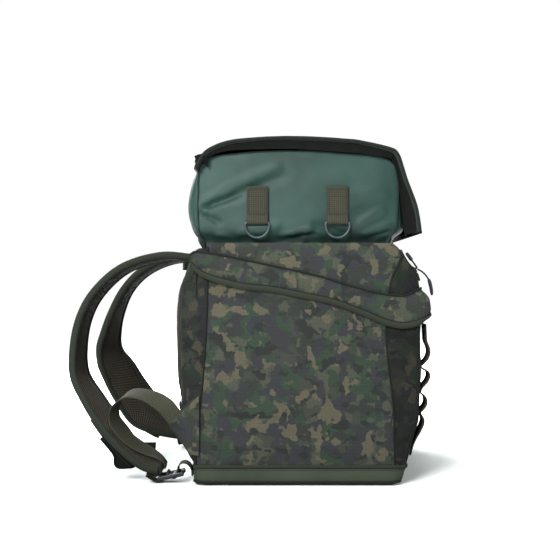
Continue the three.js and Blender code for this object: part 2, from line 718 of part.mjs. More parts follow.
function adjusterTail(lock, tail) {
  const points = [...THREADING, ...tail].map(([u, w]) => lockPoint(lock, u, w));
  return band(points, 40, {
    widthAt: () => ACROSS.clone(),
    halfWidthAt: () => WEBBING / 2,
    low: -THREADED_THICKNESS / 2,
    high: THREADED_THICKNESS / 2,
  });
}

// The camouflage triangle in the back seam that holds the adjuster.
const LOWER_WING = [[-140.5, 127], [-145, 124], [-185, 89], [-154, 44], [-140.5, 44]];

for (const { side, sign } of SIDES) {
  const lock = LOCKS[side];
  const near = HALF_WIDTH + 2 * GAP;
  addPart(`${side}_lower_wing`, sideSlab(outline(LOWER_WING), sign, near, near + SHEET), camo());
  addPart(`${side}_ladder_lock`, ladderLock(lock), blackPlastic());
  addPart(`${side}_lock_loop`, lockLoop(lock, LOOP_ROOTS[side]), webbing());
  addPart(`${side}_adjuster_webbing`, adjusterWebbing(lock, ADJUSTERS[side], sign), webbing());
  addPart(`${side}_adjuster_tail`, adjusterTail(lock, TAILS[side]), webbing());
}

export default backpack;
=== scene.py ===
"""Looks for the tackle backpack: cloth, webbing, padding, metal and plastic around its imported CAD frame.

Outlines below are in millimetres in the frame's own axes: +X front, -X the wearer's back, -Y the wearer's
left, +Z up. Blender objects are in metres, so every mesh is scaled by MM as it is built.
"""

import json
import math

import bpy
import numpy as np
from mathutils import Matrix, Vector, noise


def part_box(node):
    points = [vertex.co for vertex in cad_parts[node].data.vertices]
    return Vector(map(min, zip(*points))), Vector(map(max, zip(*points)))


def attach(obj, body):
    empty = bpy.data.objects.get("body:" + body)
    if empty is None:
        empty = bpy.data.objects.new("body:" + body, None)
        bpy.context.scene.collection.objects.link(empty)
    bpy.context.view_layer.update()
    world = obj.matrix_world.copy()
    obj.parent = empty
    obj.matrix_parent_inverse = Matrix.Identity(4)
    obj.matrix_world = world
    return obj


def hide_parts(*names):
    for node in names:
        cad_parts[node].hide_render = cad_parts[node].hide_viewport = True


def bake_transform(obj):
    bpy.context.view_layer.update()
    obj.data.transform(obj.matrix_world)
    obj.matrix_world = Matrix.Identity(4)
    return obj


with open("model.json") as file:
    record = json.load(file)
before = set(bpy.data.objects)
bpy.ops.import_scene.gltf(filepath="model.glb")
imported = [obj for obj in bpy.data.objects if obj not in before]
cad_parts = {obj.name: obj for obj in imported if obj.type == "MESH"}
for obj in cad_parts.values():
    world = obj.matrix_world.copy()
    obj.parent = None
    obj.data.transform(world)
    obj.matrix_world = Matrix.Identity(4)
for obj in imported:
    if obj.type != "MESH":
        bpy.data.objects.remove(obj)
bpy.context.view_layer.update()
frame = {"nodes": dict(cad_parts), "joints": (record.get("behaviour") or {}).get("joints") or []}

MM = 0.001
SIDES = (("left", -1), ("right", 1))


# ------------------------------------------------------------------ places taken from the frame


def node_box(node):
    """A CAD node's lowest and highest corners, in millimetres."""
    low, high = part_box(node)
    return np.array(low) / MM, np.array(high) / MM


HALF_WIDTH = node_box("right_side_panel")[1][1]
MOUTH_Z = node_box("right_side_panel")[1][2]
BOOT_HALF_WIDTH = node_box("base_boot")[1][1]
BOOT_TOP = node_box("base_boot")[1][2]
LID_HALF_WIDTH = node_box("lid_top")[1][1]
YOKE_FRONT_X, YOKE_HALF_WIDTH = node_box("front_yoke_band")[1][:2]
BAG_MIDDLE = np.array([0.0, 0.0, 250.0])


def joint_place(name):
    """A joint's place, in millimetres."""
    return np.array(next(j for j in frame["joints"] if j["name"] == name)["pos_m"]) / MM


# ------------------------------------------------------------------ curves and small maths


def smooth_value(pairs, at):
    """A smooth value through (place, value) pairs, at one place or an array of them."""
    places = np.array([p[0] for p in pairs], float)
    values = np.array([p[1] for p in pairs], float)
    slopes = np.gradient(values, places)
    at = np.clip(at, places[0], places[-1])
    i = np.clip(np.searchsorted(places, at) - 1, 0, len(places) - 2)
    step = places[i + 1] - places[i]
    t = (at - places[i]) / step
    start = (2 * t**3 - 3 * t**2 + 1) * values[i] + (t**3 - 2 * t**2 + t) * step * slopes[i]
    end = (3 * t**2 - 2 * t**3) * values[i + 1] + (t**3 - t**2) * step * slopes[i + 1]
    return start + end


def smooth_path(points, count):
    """count evenly spaced points along a smooth curve through the given ones."""
    points = np.array(points, float)
    steps = np.sqrt(np.linalg.norm(np.diff(points, axis=0), axis=1))
    place = np.concatenate([[0], np.cumsum(steps)])
    fine = np.linspace(0, place[-1], 24 * len(points))
    columns = [smooth_value(list(zip(place, points[:, k])), fine) for k in range(points.shape[1])]
    return evenly_spaced(np.stack(columns, axis=1), count)


def evenly_spaced(path, count):
    lengths = np.linalg.norm(np.diff(path, axis=0), axis=1)
    along = np.concatenate([[0], np.cumsum(lengths)])
    wanted = np.linspace(0, along[-1], count)
    return np.stack([np.interp(wanted, along, path[:, k]) for k in range(path.shape[1])], axis=1)


def unit(vectors):
    vectors = np.asarray(vectors, float)
    return vectors / np.maximum(np.linalg.norm(vectors, axis=-1, keepdims=True), 1e-9)


def tangents(path, closed=False):
    if closed:
        return unit(np.roll(path, -1, axis=0) - np.roll(path, 1, axis=0))
    return unit(np.gradient(path, axis=0))


def xyz(x, y, z):
    """Points from three coordinates, each an array or one value for all."""
    return np.stack(np.broadcast_arrays(x, y, z), axis=-1).astype(float)


def xz_path(points, y):
    """An XZ outline placed at one distance across the bag."""
    points = np.asarray(points, float)
    return xyz(points[:, 0], y, points[:, 1])


def with_far_half(near):
    """The near half of an outline or grid, joined to its mirror image across the bag's middle."""
    far = near[-2::-1].copy()
    far[..., 1] *= -1
    return np.concatenate([near, far])


def inset_path(path, distance):
    """An XZ path that runs over the top to the front and down, moved into the bag."""
    direction = unit(np.gradient(np.asarray(path, float), axis=0))
    inward = np.stack([direction[:, 1], -direction[:, 0]], axis=1)
    return path + inward * distance


def ripple(points, size, seed, octaves=2):
    """Smooth noise from -1 to 1 at each point, with bumps about size apart."""
    flat = np.asarray(points, float).reshape(-1, 3)
    shift = Vector((seed * 7.3, seed * -3.1, seed * 5.7))
    values = [
        sum(
            noise.noise(Vector(p) / (size * 0.5**k) + shift) * 0.5**k
            for k in range(octaves)
        )
        for p in flat
    ]
    return np.array(values).reshape(np.asarray(points).shape[:-1])


def fold_height(points, start, end, width, height):
    """A soft ridge, or a groove for a negative height, along a straight line that fades at its ends."""
    start, end = np.array(start, float), np.array(end, float)
    span = end - start
    t = ((points - start) @ span) / (span @ span)
    nearest = start + np.clip(t, 0, 1)[..., None] * span
    distance = np.linalg.norm(points - nearest, axis=-1)
    fade = np.clip(np.minimum(t + 0.15, 1.15 - t) / 0.3, 0, 1)
    return height * fade * np.exp(-((distance / width) ** 2))


# ------------------------------------------------------------------ mesh parts


class Part:
    """Vertices in millimetres, faces, and a UV in metres for each face corner."""

    def __init__(self, vertices, faces, uvs):
        self.vertices = np.asarray(vertices, float).reshape(-1, 3)
        self.faces = faces
        self.uvs = uvs


def grid_normals(grid, wrap=False):
    if wrap:
        du = np.roll(grid, -1, axis=0) - np.roll(grid, 1, axis=0)
    else:
        du = np.gradient(grid, axis=0)
    dv = np.gradient(grid, axis=1)
    return unit(np.cross(du, dv))


def facing(grid, direction):
    """1 where a grid's normals point along a direction, on average, and -1 where they point against it."""
    return 1 if np.mean(np.sum(grid_normals(grid) * np.asarray(direction), axis=-1)) > 0 else -1


def rumpled(grid, broad, fine, sign=1):
    """A grid pushed in and out by broad and fine ripples, each given as height, size and seed."""
    lift = broad[0] * ripple(grid, *broad[1:]) + fine[0] * ripple(grid, *fine[1:], 1)
    return grid + grid_normals(grid) * sign * lift[..., None]


def running_length(path):
    lengths = np.linalg.norm(np.diff(path, axis=0), axis=1)
    return np.concatenate([[0], np.cumsum(lengths)]) * MM


def cloth(grid, thickness, outward=1, wrap=False):
    """A closed sheet of cloth whose outer face is the grid. outward is 1 where du x dv points out."""
    nu, nv = grid.shape[:2]
    inner = grid - grid_normals(grid, wrap) * outward * thickness
    vertices = np.concatenate([grid.reshape(-1, 3), inner.reshape(-1, 3)])
    loop = np.concatenate([grid, grid[:1]]) if wrap else grid
    along_u = running_length(loop[:, nv // 2])
    along_v = running_length(grid[nu // 2])
    count = nu * nv
    faces, uvs = [], []

    last = nu if wrap else nu - 1

    def add(corners, layers, flip):
        ids = [layer * count + (i % nu) * nv + j for (i, j), layer in zip(corners, layers)]
        marks = [(along_u[i], along_v[j]) for i, j in corners]
        faces.append(ids[::-1] if flip else ids)
        uvs.append(marks[::-1] if flip else marks)

    for i in range(last):
        for j in range(nv - 1):
            square = [(i, j), (i + 1, j), (i + 1, j + 1), (i, j + 1)]
            add(square, (0, 0, 0, 0), outward < 0)
            add(square, (1, 1, 1, 1), outward > 0)

    def rim(edge):
        for here, ahead in zip(edge, edge[1:]):
            add([here, here, ahead, ahead], (0, 1, 1, 0), outward < 0)

    rim([(i, 0) for i in range(last + 1)])
    rim([(i, nv - 1) for i in range(last, -1, -1)])
    if not wrap:
        rim([(nu - 1, j) for j in range(nv)])
        rim([(0, j) for j in range(nv - 1, -1, -1)])
    return Part(vertices, faces, uvs)


def skin(rings, closed=False, caps=True):
    """A closed skin over rings of points: rings is an array of stations, ring points and XYZ."""
    stations, size = rings.shape[:2]
    around = running_length(np.concatenate([rings[0], rings[0][:1]]))
    looped = np.concatenate([rings, rings[:1]]) if closed else rings
    along = running_length(looped[:, 0])
    faces, uvs = [], []
    for s in range(stations if closed else stations - 1):
        here, ahead = s * size, ((s + 1) % stations) * size
        for k in range(size):
            k2 = (k + 1) % size
            faces.append([here + k, here + k2, ahead + k2, ahead + k])
            uvs.append([(around[k], along[s]), (around[k + 1], along[s]),
                        (around[k + 1], along[s + 1]), (around[k], along[s + 1])])
    if caps and not closed:
        faces.append(list(range(size))[::-1])
        uvs.append([(around[k], 0) for k in range(size)][::-1])
        top = (stations - 1) * size
        faces.append([top + k for k in range(size)])
        uvs.append([(around[k], along[-1]) for k in range(size)])
    part = Part(rings.reshape(-1, 3), faces, uvs)
    if signed_volume(part) < 0:
        part.faces = [f[::-1] for f in part.faces]
        part.uvs = [u[::-1] for u in part.uvs]
    return part


def signed_volume(part):
    total = 0.0
    for face in part.faces:
        a = part.vertices[face[0]]
        for b, c in zip(face[1:], face[2:]):
            total += np.dot(a, np.cross(part.vertices[b], part.vertices[c]))
    return total / 6


def carried_normals(path, first, closed=False):
    """A normal at each point of a path, carried along it without twist."""
    along = tangents(path, closed)
    normals = [unit(first - along[0] * np.dot(first, along[0]))]
    for t in along[1:]:
        n = normals[-1] - t * np.dot(normals[-1], t)
        normals.append(unit(n))
    return np.array(normals), along


def tube(path, radius, sides=8, first=(0, 0, 1), flatten=1.0, closed=False):
    """A round cord along a path. flatten scales it along its first normal."""
    path = np.asarray(path, float)
    first = np.asarray(first, float)
    if abs(np.dot(tangents(path, closed)[0], unit(first))) > 0.95:
        first = np.array([0.0, 1.0, 0.0])
    normals, along = carried_normals(path, first, closed)
    side = np.cross(along, normals)
    radius = np.broadcast_to(np.asarray(radius, float), len(path))
    angles = np.linspace(0, 2 * math.pi, sides, endpoint=False)
    rings = (
        path[:, None]
        + normals[:, None] * (np.cos(angles)[None, :, None] * radius[:, None, None] * flatten)
        + side[:, None] * (np.sin(angles)[None, :, None] * radius[:, None, None])
    )
    return skin(rings, closed)


def tape_section(half_width, half_thickness, edge=0.6):
    """A tape's section: flat faces and round edges, as (across, normal) pairs."""
    right = [(half_width - edge + edge * math.sin(a), half_thickness * math.cos(a))
             for a in np.linspace(0, math.pi, 5)]
    middle = np.linspace(half_width - edge, -half_width + edge, 7)[1:-1]
    lower = [(w, -half_thickness) for w in middle]
    left = [(-w, -n) for w, n in right]
    upper = [(-w, half_thickness) for w in middle]
    return np.array(right + lower + left + upper)


def tape(path, across, width, thickness, normals=None):
    """A flat webbing tape along a path. across is one width direction or one for each point."""
    path = np.asarray(path, float)
    along = tangents(path)
    across = np.broadcast_to(np.asarray(across, float), path.shape)
    across = unit(across - along * np.sum(across * along, axis=1, keepdims=True))
    if normals is None:
        normals = np.cross(across, along)
    section = tape_section(width / 2, thickness / 2)
    rings = (
        path[:, None]
        + across[:, None] * section[None, :, 0, None]
        + normals[:, None] * section[None, :, 1, None]
    )
    return skin(rings)


def squared(values, power):
    """Sines or cosines pushed outwards, so that a round outline grows corners."""
    return np.sign(values) * np.abs(values) ** power


def rounded_bar(start, end, across, half_width, half_height):
    """A moulded bar with a soft rectangular section and rounded ends."""
    start, end, across = (np.asarray(v, float) for v in (start, end, across))
    along = unit(end - start)
    across = unit(across - along * np.dot(across, along))
    up = np.cross(across, along)
    angles = np.linspace(0, 2 * math.pi, 16, endpoint=False)
    section = np.stack([squared(np.cos(angles), 0.45), squared(np.sin(angles), 0.45)], axis=1)
    length = np.linalg.norm(end - start)
    soft = min(half_width, half_height, length / 3) * 0.6
    places = [0, soft * 0.3, soft, length - soft, length - soft * 0.3, length]
    scales = [0.62, 0.88, 1, 1, 0.88, 0.62]
    rings = []
    for place, scale in zip(places, scales):
        shrink_w = half_width - soft * (1 - scale)
        shrink_h = half_height - soft * (1 - scale)
        centre = start + along * place
        rings.append(centre + across * section[:, :1] * shrink_w + up * section[:, 1:] * shrink_h)
    return skin(np.array(rings))


STITCH_PITCH = 3.6
STITCH_LENGTH = 2.5
STITCH_RADIUS = 0.42
STITCH_INSET = 2.6               # a row's distance from the edge that it holds


def stitches(path, normal, pitch=STITCH_PITCH):
    """A row of small thread stitches lying on a surface, each a short spindle."""
    path = np.asarray(path, float)
    normal = np.broadcast_to(np.asarray(normal, float), path.shape)
    length = np.linalg.norm(np.diff(path, axis=0), axis=1).sum()
    count = max(int(length / pitch), 1)
    lengths = running_length(path)
    wanted = (np.arange(count) + 0.5) / count * lengths[-1]
    columns = np.concatenate([path, tangents(path), normal], axis=1)
    rows = np.stack([np.interp(wanted, lengths, column) for column in columns.T], axis=1)
    parts = []
    angles = np.linspace(0, 2 * math.pi, 5, endpoint=False)
    for row in rows:
        centre, direction, up = row[:3], unit(row[3:6]), unit(row[6:])
        side = unit(np.cross(direction, up))
        rings = []
        for reach, size in ((-0.5, 0.35), (-0.25, 1), (0.25, 1), (0.5, 0.35)):
            middle = centre + direction * reach * STITCH_LENGTH + up * STITCH_RADIUS * 0.3
            ring = [middle + (side * math.cos(a) + up * math.sin(a)) * STITCH_RADIUS * size for a in angles]
            rings.append(ring)
        parts.append(skin(np.array(rings)))
    return parts


def build(name, parts, material, body=None, replaces=(), smooth=True):
    """Joins parts into one mesh object, in metres, riding on a body."""
    vertices, faces, uvs = [], [], []
    base = 0
    for part in parts:
        vertices.append(part.vertices)
        faces.extend([[base + i for i in face] for face in part.faces])
        uvs.extend(part.uvs)
        base += len(part.vertices)
    mesh = bpy.data.meshes.new(name)
    mesh.from_pydata((np.concatenate(vertices) * MM).tolist(), [], faces)
    layer = mesh.uv_layers.new(name="metres")
    layer.data.foreach_set("uv", np.array([uv for corners in uvs for uv in corners], np.float32).ravel())
    mesh.polygons.foreach_set("use_smooth", [smooth] * len(mesh.polygons))
    mesh.materials.append(material)
    mesh.update()
    piece = bpy.data.objects.new(name, mesh)
    bpy.context.scene.collection.objects.link(piece)
    if smooth:
        sharp_edges(mesh)
    if body:
        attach(piece, body)
    if replaces:
        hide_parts(*replaces)
    return piece


SHARP_ANGLE = math.radians(50)


def sharp_edges(mesh):
    """Keeps cut edges of cloth and mouldings crisp under smooth shading."""
    mesh.set_sharp_from_angle(angle=SHARP_ANGLE)


# ------------------------------------------------------------------ materials


STUDIO_GAIN = 5.0                # how much more light than plain white the studio throws on the bag


def colour(red, green, blue):
    """A shader colour from the 0-255 screen values that a surface shows when it faces the light."""
    channels = [c / 255 for c in (red, green, blue)]
    linear = [c / 12.92 if c <= 0.04045 else ((c + 0.055) / 1.055) ** 2.4 for c in channels]
    return tuple(c / STUDIO_GAIN for c in linear) + (1.0,)


class Look:
    """A node material with short calls for the nodes used here."""

    def __init__(self, name, roughness, sheen=0.0, metallic=0.0, specular=0.06):
        self.material = bpy.data.materials.new(name)
        self.material.use_nodes = True
        self.tree = self.material.node_tree
        self.shader = self.tree.nodes["Principled BSDF"]
        self.shader.inputs["Roughness"].default_value = roughness
        self.shader.inputs["Sheen Weight"].default_value = sheen
        self.shader.inputs["Sheen Roughness"].default_value = 0.5
        self.shader.inputs["Metallic"].default_value = metallic
        self.shader.inputs["Specular IOR Level"].default_value = specular
        coordinates = self.tree.nodes.new("ShaderNodeTexCoord")
        self.place = coordinates.outputs["Object"]
        self.uv = coordinates.outputs["UV"]

    def set(self, socket, value):
        if isinstance(value, bpy.types.NodeSocket):
            self.tree.links.new(value, socket)
        else:
            socket.default_value = value

    def math(self, operation, a, b=0.0, c=0.0):
        node = self.tree.nodes.new("ShaderNodeMath")
        node.operation = operation
        for socket, value in zip(node.inputs, (a, b, c)):
            self.set(socket, value)
        return node.outputs[0]

    def step(self, value, low, high):
        """0 below low, 1 above high, smooth between."""
        node = self.tree.nodes.new("ShaderNodeMapRange")
        node.interpolation_type = "SMOOTHSTEP"
        self.set(node.inputs["Value"], value)
        node.inputs["From Min"].default_value = low
        node.inputs["From Max"].default_value = high
        return node.outputs["Result"]

    def mix(self, amount, a, b, blend="MIX"):
        node = self.tree.nodes.new("ShaderNodeMix")
        node.data_type = "RGBA"
        node.blend_type = blend
        self.set(node.inputs[0], amount)
        self.set(node.inputs[6], a)
        self.set(node.inputs[7], b)
        return node.outputs[2]

    def noise(self, vector, size, detail=2.0, seed=0.0, stretch=(1, 1, 1), output="Fac"):
        """Noise with bumps about size metres apart."""
        mapping = self.tree.nodes.new("ShaderNodeMapping")
        self.set(mapping.inputs["Vector"], vector)
        mapping.inputs["Location"].default_value = (seed, seed * 0.7, -seed)
        mapping.inputs["Scale"].default_value = stretch
        node = self.tree.nodes.new("ShaderNodeTexNoise")
        self.set(node.inputs["Vector"], mapping.outputs["Vector"])
        node.inputs["Scale"].default_value = 1 / size
        node.inputs["Detail"].default_value = detail
        return node.outputs[output]

    def vector_math(self, operation, a, b=None, scale=None):
        node = self.tree.nodes.new("ShaderNodeVectorMath")
        node.operation = operation
        self.set(node.inputs[0], a)
        if b is not None:
            self.set(node.inputs[1], b)
        if scale is not None:
            node.inputs["Scale"].default_value = scale
        return node.outputs

    def shifted(self, vector, by, amount):
        """vector moved by a noise colour, up to amount metres."""
        centred = self.vector_math("SUBTRACT", by, (0.5, 0.5, 0.5))["Vector"]
        move = self.vector_math("SCALE", centred, scale=amount)["Vector"]
        return self.vector_math("ADD", vector, move)["Vector"]

    def wave(self, value, pitch, phase=0.0):
        """A sine from 0 to 1 along a coordinate in metres."""
        turn = self.math("MULTIPLY_ADD", value, 2 * math.pi / pitch, phase)
        half = self.math("MULTIPLY", self.math("SINE", turn), 0.5)
        return self.math("ADD", half, 0.5)

    def split(self, vector):
        """The X, Y and Z of a vector."""
        node = self.tree.nodes.new("ShaderNodeSeparateXYZ")
        self.set(node.inputs[0], vector)
        return node.outputs[0], node.outputs[1], node.outputs[2]

    def uv_axes(self):
        return self.split(self.uv)[:2]

    def stain(self, paint, where, strength, screen):
        """paint with a screen colour laid over it, as far as where times strength."""
        return self.mix(self.math("MULTIPLY", where, strength), paint, colour(*screen))

    def base(self, value):
        self.set(self.shader.inputs["Base Color"], value)

    def roughness(self, value):
        self.set(self.shader.inputs["Roughness"], value)

    def bump(self, height, distance, strength=1.0):
        node = self.tree.nodes.new("ShaderNodeBump")
        node.inputs["Distance"].default_value = distance
        node.inputs["Strength"].default_value = strength
        self.set(node.inputs["Height"], height)
        self.set(self.shader.inputs["Normal"], node.outputs["Normal"])


def plain_weave(look, pitch):
    """The over-and-under height of a plain weave in UV space."""
    u, v = look.uv_axes()
    warp = look.wave(u, pitch)
    weft = look.wave(v, pitch, math.pi / 2)
    return look.math("MULTIPLY", warp, weft)


def ripstop_lines(look, pitch):
    """1 on the thicker threads of a ripstop grid, 0 between them."""
    u, v = look.uv_axes()
    lines = [look.math("POWER", look.wave(axis, pitch), 14) for axis in (u, v)]
    return look.math("MAXIMUM", *lines)


# Camouflage blotches, laid over each other in this order: screen colour, size, seed, how rare, stretch.
CAMO_GROUND = (70, 77, 67)
CAMO_BLOTCHES = [
    ((58, 63, 59), 0.030, 21.0, 0.49, (0.75, 1, 1.15)),
    ((57, 78, 62), 0.028, 5.0, 0.53, (0.8, 1, 1)),
    ((86, 91, 78), 0.023, 43.0, 0.57, (0.9, 1, 1)),
    ((60, 62, 68), 0.024, 9.0, 0.55, (1, 1, 0.8)),
    ((46, 51, 51), 0.020, 14.0, 0.60, (0.8, 1, 1.1)),
    ((110, 105, 87), 0.021, 30.0, 0.615, (1, 1, 0.8)),
]


def camo_look(name="camo_cloth", corner_shade=0.0):
    """Camouflage ripstop. corner_shade is painted shade: it darkens the cloth near the two side faces, so
    the gussets look shaded.
    """
    look = Look(name, 0.86)
    coarse = look.noise(look.place, 0.013, 1.0, 3.0, output="Color")
    fine = look.noise(look.place, 0.004, 1.0, 8.0, output="Color")
    place = look.shifted(look.shifted(look.place, coarse, 0.014), fine, 0.005)
    paint = colour(*CAMO_GROUND)
    for screen, size, seed, edge, stretch in CAMO_BLOTCHES:
        field = look.noise(place, size, 1.2, seed, stretch)
        paint = look.mix(look.step(field, edge - 0.006, edge + 0.006), paint, colour(*screen))
    paint = look.stain(paint, look.noise(look.place, 0.0016, 2.0, 2.0), 0.3, (40, 44, 39))
    paint = look.stain(paint, look.noise(look.place, 0.09, 2.0, 17.0), 0.16, (88, 92, 80))
    lines = ripstop_lines(look, 0.0052)
    paint = look.stain(paint, lines, 0.14, (36, 40, 36))
    # Painted shade on the gussets: the cloth darkens towards near black close to the two side faces.
    if corner_shade:
        away = look.math("ABSOLUTE", look.split(look.place)[1])
        paint = look.stain(paint, look.step(away, 0.142, 0.158), corner_shade, (12, 14, 13))
    look.base(paint)
    weave = look.math("ADD", plain_weave(look, 0.0009), look.math("MULTIPLY", lines, 0.9))
    look.bump(weave, 0.00028, 0.8)
    return look.material


def coated_look(name, screen, light, dark, roughness, pitch=0.0007, height=0.00012, foot=None):
    """Coated cloth: a smooth film over a fine weave, a little cloudy, shinier where it is rubbed.

    foot is a height below which painted shade darkens the cloth, where it is gathered into the bag's mouth.
    """
    look = Look(name, roughness, specular=0.07)
    cloud = look.noise(look.place, 0.07, 3.0, 4.0)
    paint = look.mix(look.step(cloud, 0.3, 0.75), colour(*dark), colour(*light))
    paint = look.mix(0.55, paint, colour(*screen))
    paint = look.stain(paint, look.noise(look.place, 0.0012, 2.0, 6.0), 0.16, dark)
    if foot is not None:
        # Painted shade towards the foot, where the gathered cloth sinks into the mouth.
        height_above = look.split(look.place)[2]
        uneven = look.math("MULTIPLY_ADD", look.noise(look.place, 0.028, 2.0, 9.0), 0.045, height_above)
        painted_shade_near_foot = look.math("SUBTRACT", 1.0, look.step(uneven, foot, foot + 0.042))
        paint = look.stain(paint, painted_shade_near_foot, 0.85, (19, 33, 28))
    look.base(paint)
    rubbed = look.noise(look.place, 0.035, 2.0, 12.0)
    look.roughness(look.math("MULTIPLY_ADD", rubbed, 0.22, roughness - 0.11))
    cells = plain_weave(look, pitch)
    film = look.noise(look.place, 0.006, 3.0, 1.0)
    look.bump(look.math("ADD", cells, look.math("MULTIPLY", film, 1.6)), height, 0.7)
    return look.material


def woven_look(name, screen, dark, roughness=0.85, pitch=0.0011, height=0.0003):
    look = Look(name, roughness)
    cloud = look.noise(look.place, 0.05, 3.0, 5.0)
    weave = plain_weave(look, pitch)
    paint = look.stain(colour(*screen), cloud, 0.5, dark)
    paint = look.stain(paint, look.math("SUBTRACT", 1.0, weave), 0.35, dark)
    look.base(paint)
    look.bump(weave, height, 0.9)
    return look.material


def webbing_look():
    """Heavy flat webbing: ribs along its length, cut into raised picks, dark in the gaps."""
    look = Look("olive_webbing", 0.8)
    around, along = look.uv_axes()
    ribs = look.wave(around, 0.0031)
    picks = look.wave(along, 0.0029)
    height = look.math("MULTIPLY_ADD", picks, 0.45, look.math("MULTIPLY", ribs, 0.55))
    worn = look.noise(look.place, 0.02, 2.0, 3.0)
    paint = look.mix(worn, colour(66, 69, 55), colour(80, 79, 65))
    gaps = look.step(look.math("SUBTRACT", 1.0, height), 0.3, 0.9)
    paint = look.stain(paint, gaps, 0.75, (34, 36, 28))
    look.base(paint)
    look.bump(height, 0.0006, 0.9)
    return look.material


def spacer_mesh_look():
    """Knitted spacer mesh: staggered open eyes, dark inside, with brownish yarn round them."""
    look = Look("spacer_mesh", 0.9)
    u, v = look.uv_axes()
    across = look.wave(u, 0.0034)
    along = look.wave(v, 0.0046)
    shifted_across = look.wave(u, 0.0034, math.pi)
    shifted_along = look.wave(v, 0.0046, math.pi)
    eyes = look.math("MAXIMUM", look.math("MULTIPLY", across, along),
                     look.math("MULTIPLY", shifted_across, shifted_along))
    holes = look.step(eyes, 0.26, 0.44)
    cloud = look.noise(look.place, 0.03, 2.0, 6.0)
    yarn = look.mix(cloud, colour(94, 89, 78), colour(120, 112, 99))
    look.base(look.mix(holes, yarn, colour(16, 17, 14)))
    look.bump(look.math("SUBTRACT", 1.0, holes), 0.0009, 0.9)
    return look.material


def plastic_look(name, screen):
    look = Look(name, 0.5, specular=0.16)
    grain = look.noise(look.place, 0.0011, 3.0, 2.0)
    scuffs = look.noise(look.place, 0.012, 4.0, 9.0)
    light = tuple(c + 14 for c in screen)
    look.base(look.mix(look.step(scuffs, 0.5, 0.8), colour(*screen), colour(*light)))
    look.roughness(look.math("MULTIPLY_ADD", grain, 0.2, 0.4))
    look.bump(grain, 0.0001, 0.5)
    return look.material


def metal_look():
    """Satin grey-green painted wire, worn brighter in places."""
    look = Look("ring_metal", 0.42, specular=0.15)
    wear = look.noise(look.place, 0.006, 4.0, 3.0)
    look.base(look.mix(look.step(wear, 0.5, 0.72), colour(54, 72, 78), colour(80, 98, 104)))
    look.roughness(look.math("ADD", look.math("MULTIPLY", wear, 0.25), 0.24))
    look.bump(look.noise(look.place, 0.0015, 2.0, 1.0), 0.00006, 0.5)
    return look.material


def thread_look():
    look = Look("thread", 0.7)
    twist = look.noise(look.place, 0.0012, 1.0, 2.0)
    look.base(look.mix(twist, colour(42, 46, 38), colour(66, 70, 58)))
    return look.material


CAMO = camo_look()
# Camouflage copies with painted shade darkening their gussets.
BACK_CAMO_PAINTED_SHADE = camo_look("back_camo_cloth_painted_shade", 0.55)
POCKET_CAMO_PAINTED_SHADE = camo_look("pocket_camo_cloth_painted_shade", 0.7)
# The green collar gets painted shade below 0.354 m, near the bag's mouth.
GREEN = coated_look("green_coated_cloth", (48, 80, 72), (60, 95, 86), (28, 52, 46), 0.42, foot=0.354)
BOOT = coated_look("olive_coated_cloth", (70, 80, 65), (78, 88, 72), (56, 65, 52), 0.5, 0.0013, 0.0002)
LID = coated_look("lid_cloth", (39, 48, 41), (47, 56, 48), (27, 34, 28), 0.62, 0.0012, 0.0002)
LINING = woven_look("black_lining", (13, 19, 15), (6, 9, 7))
STRAP = woven_look("strap_cloth", (50, 54, 45), (30, 33, 27))
LID_RIM_CLOTH = woven_look("lid_binding", (37, 46, 39), (21, 27, 22), 0.75, 0.0016)
STRAP_BINDING = woven_look("strap_binding", (54, 60, 50), (34, 38, 31), 0.8, 0.0014)
BINDING = woven_look("olive_binding", (58, 65, 53), (37, 42, 33), 0.78, 0.0016)
PIPING = woven_look("dark_piping", (36, 42, 36), (20, 24, 20), 0.8)
GREEN_PIPING = woven_look("green_piping", (42, 60, 54), (28, 42, 37), 0.7)
WEBBING = webbing_look()
MESH = spacer_mesh_look()
PLASTIC = plastic_look("black_plastic", (26, 33, 36))
METAL = metal_look()
THREAD = thread_look()


# ------------------------------------------------------------------ camera, light and floor

CAMERA_DISTANCE = 1.6
CAMERA_X = -0.028
CAMERA_Z = 0.288
LENS = 65.2


def make_camera():
    data = bpy.data.cameras.new("camera")
    data.lens = LENS
    camera = bpy.data.objects.new("camera", data)
    camera.location = (CAMERA_X, -CAMERA_DISTANCE, CAMERA_Z)
    camera.rotation_euler = (math.radians(90), 0, 0)
    bpy.context.scene.collection.objects.link(camera)
    bpy.context.scene.camera = camera


def area_light(name, location, target, size, power):
    data = bpy.data.lights.new(name, "AREA")
    data.shape = "DISK"
    data.size = size
    data.energy = power
    light = bpy.data.objects.new(name, data)
    light.location = location
    light.rotation_euler = (Vector(target) - Vector(location)).to_track_quat("-Z", "Y").to_euler()
    bpy.context.scene.collection.objects.link(light)


def make_studio():
    world = bpy.data.worlds.new("studio")
    world.use_nodes = True
    background = world.node_tree.nodes["Background"]
    background.inputs["Color"].default_value = (1, 1, 1, 1)
    background.inputs["Strength"].default_value = 1.01
    bpy.context.scene.world = world
    bpy.context.scene.view_settings.view_transform = "Standard"
    middle = (0, 0, 0.25)
    area_light("key", (-0.8, -2.0, 1.2), middle, 0.9, 205)
    area_light("top", (-0.2, -0.5, 2.0), middle, 1.0, 74)
    area_light("back", (-0.9, 1.7, 1.5), middle, 1.2, 150)
    area_light("front", (2.2, -0.3, 0.9), middle, 1.2, 45)


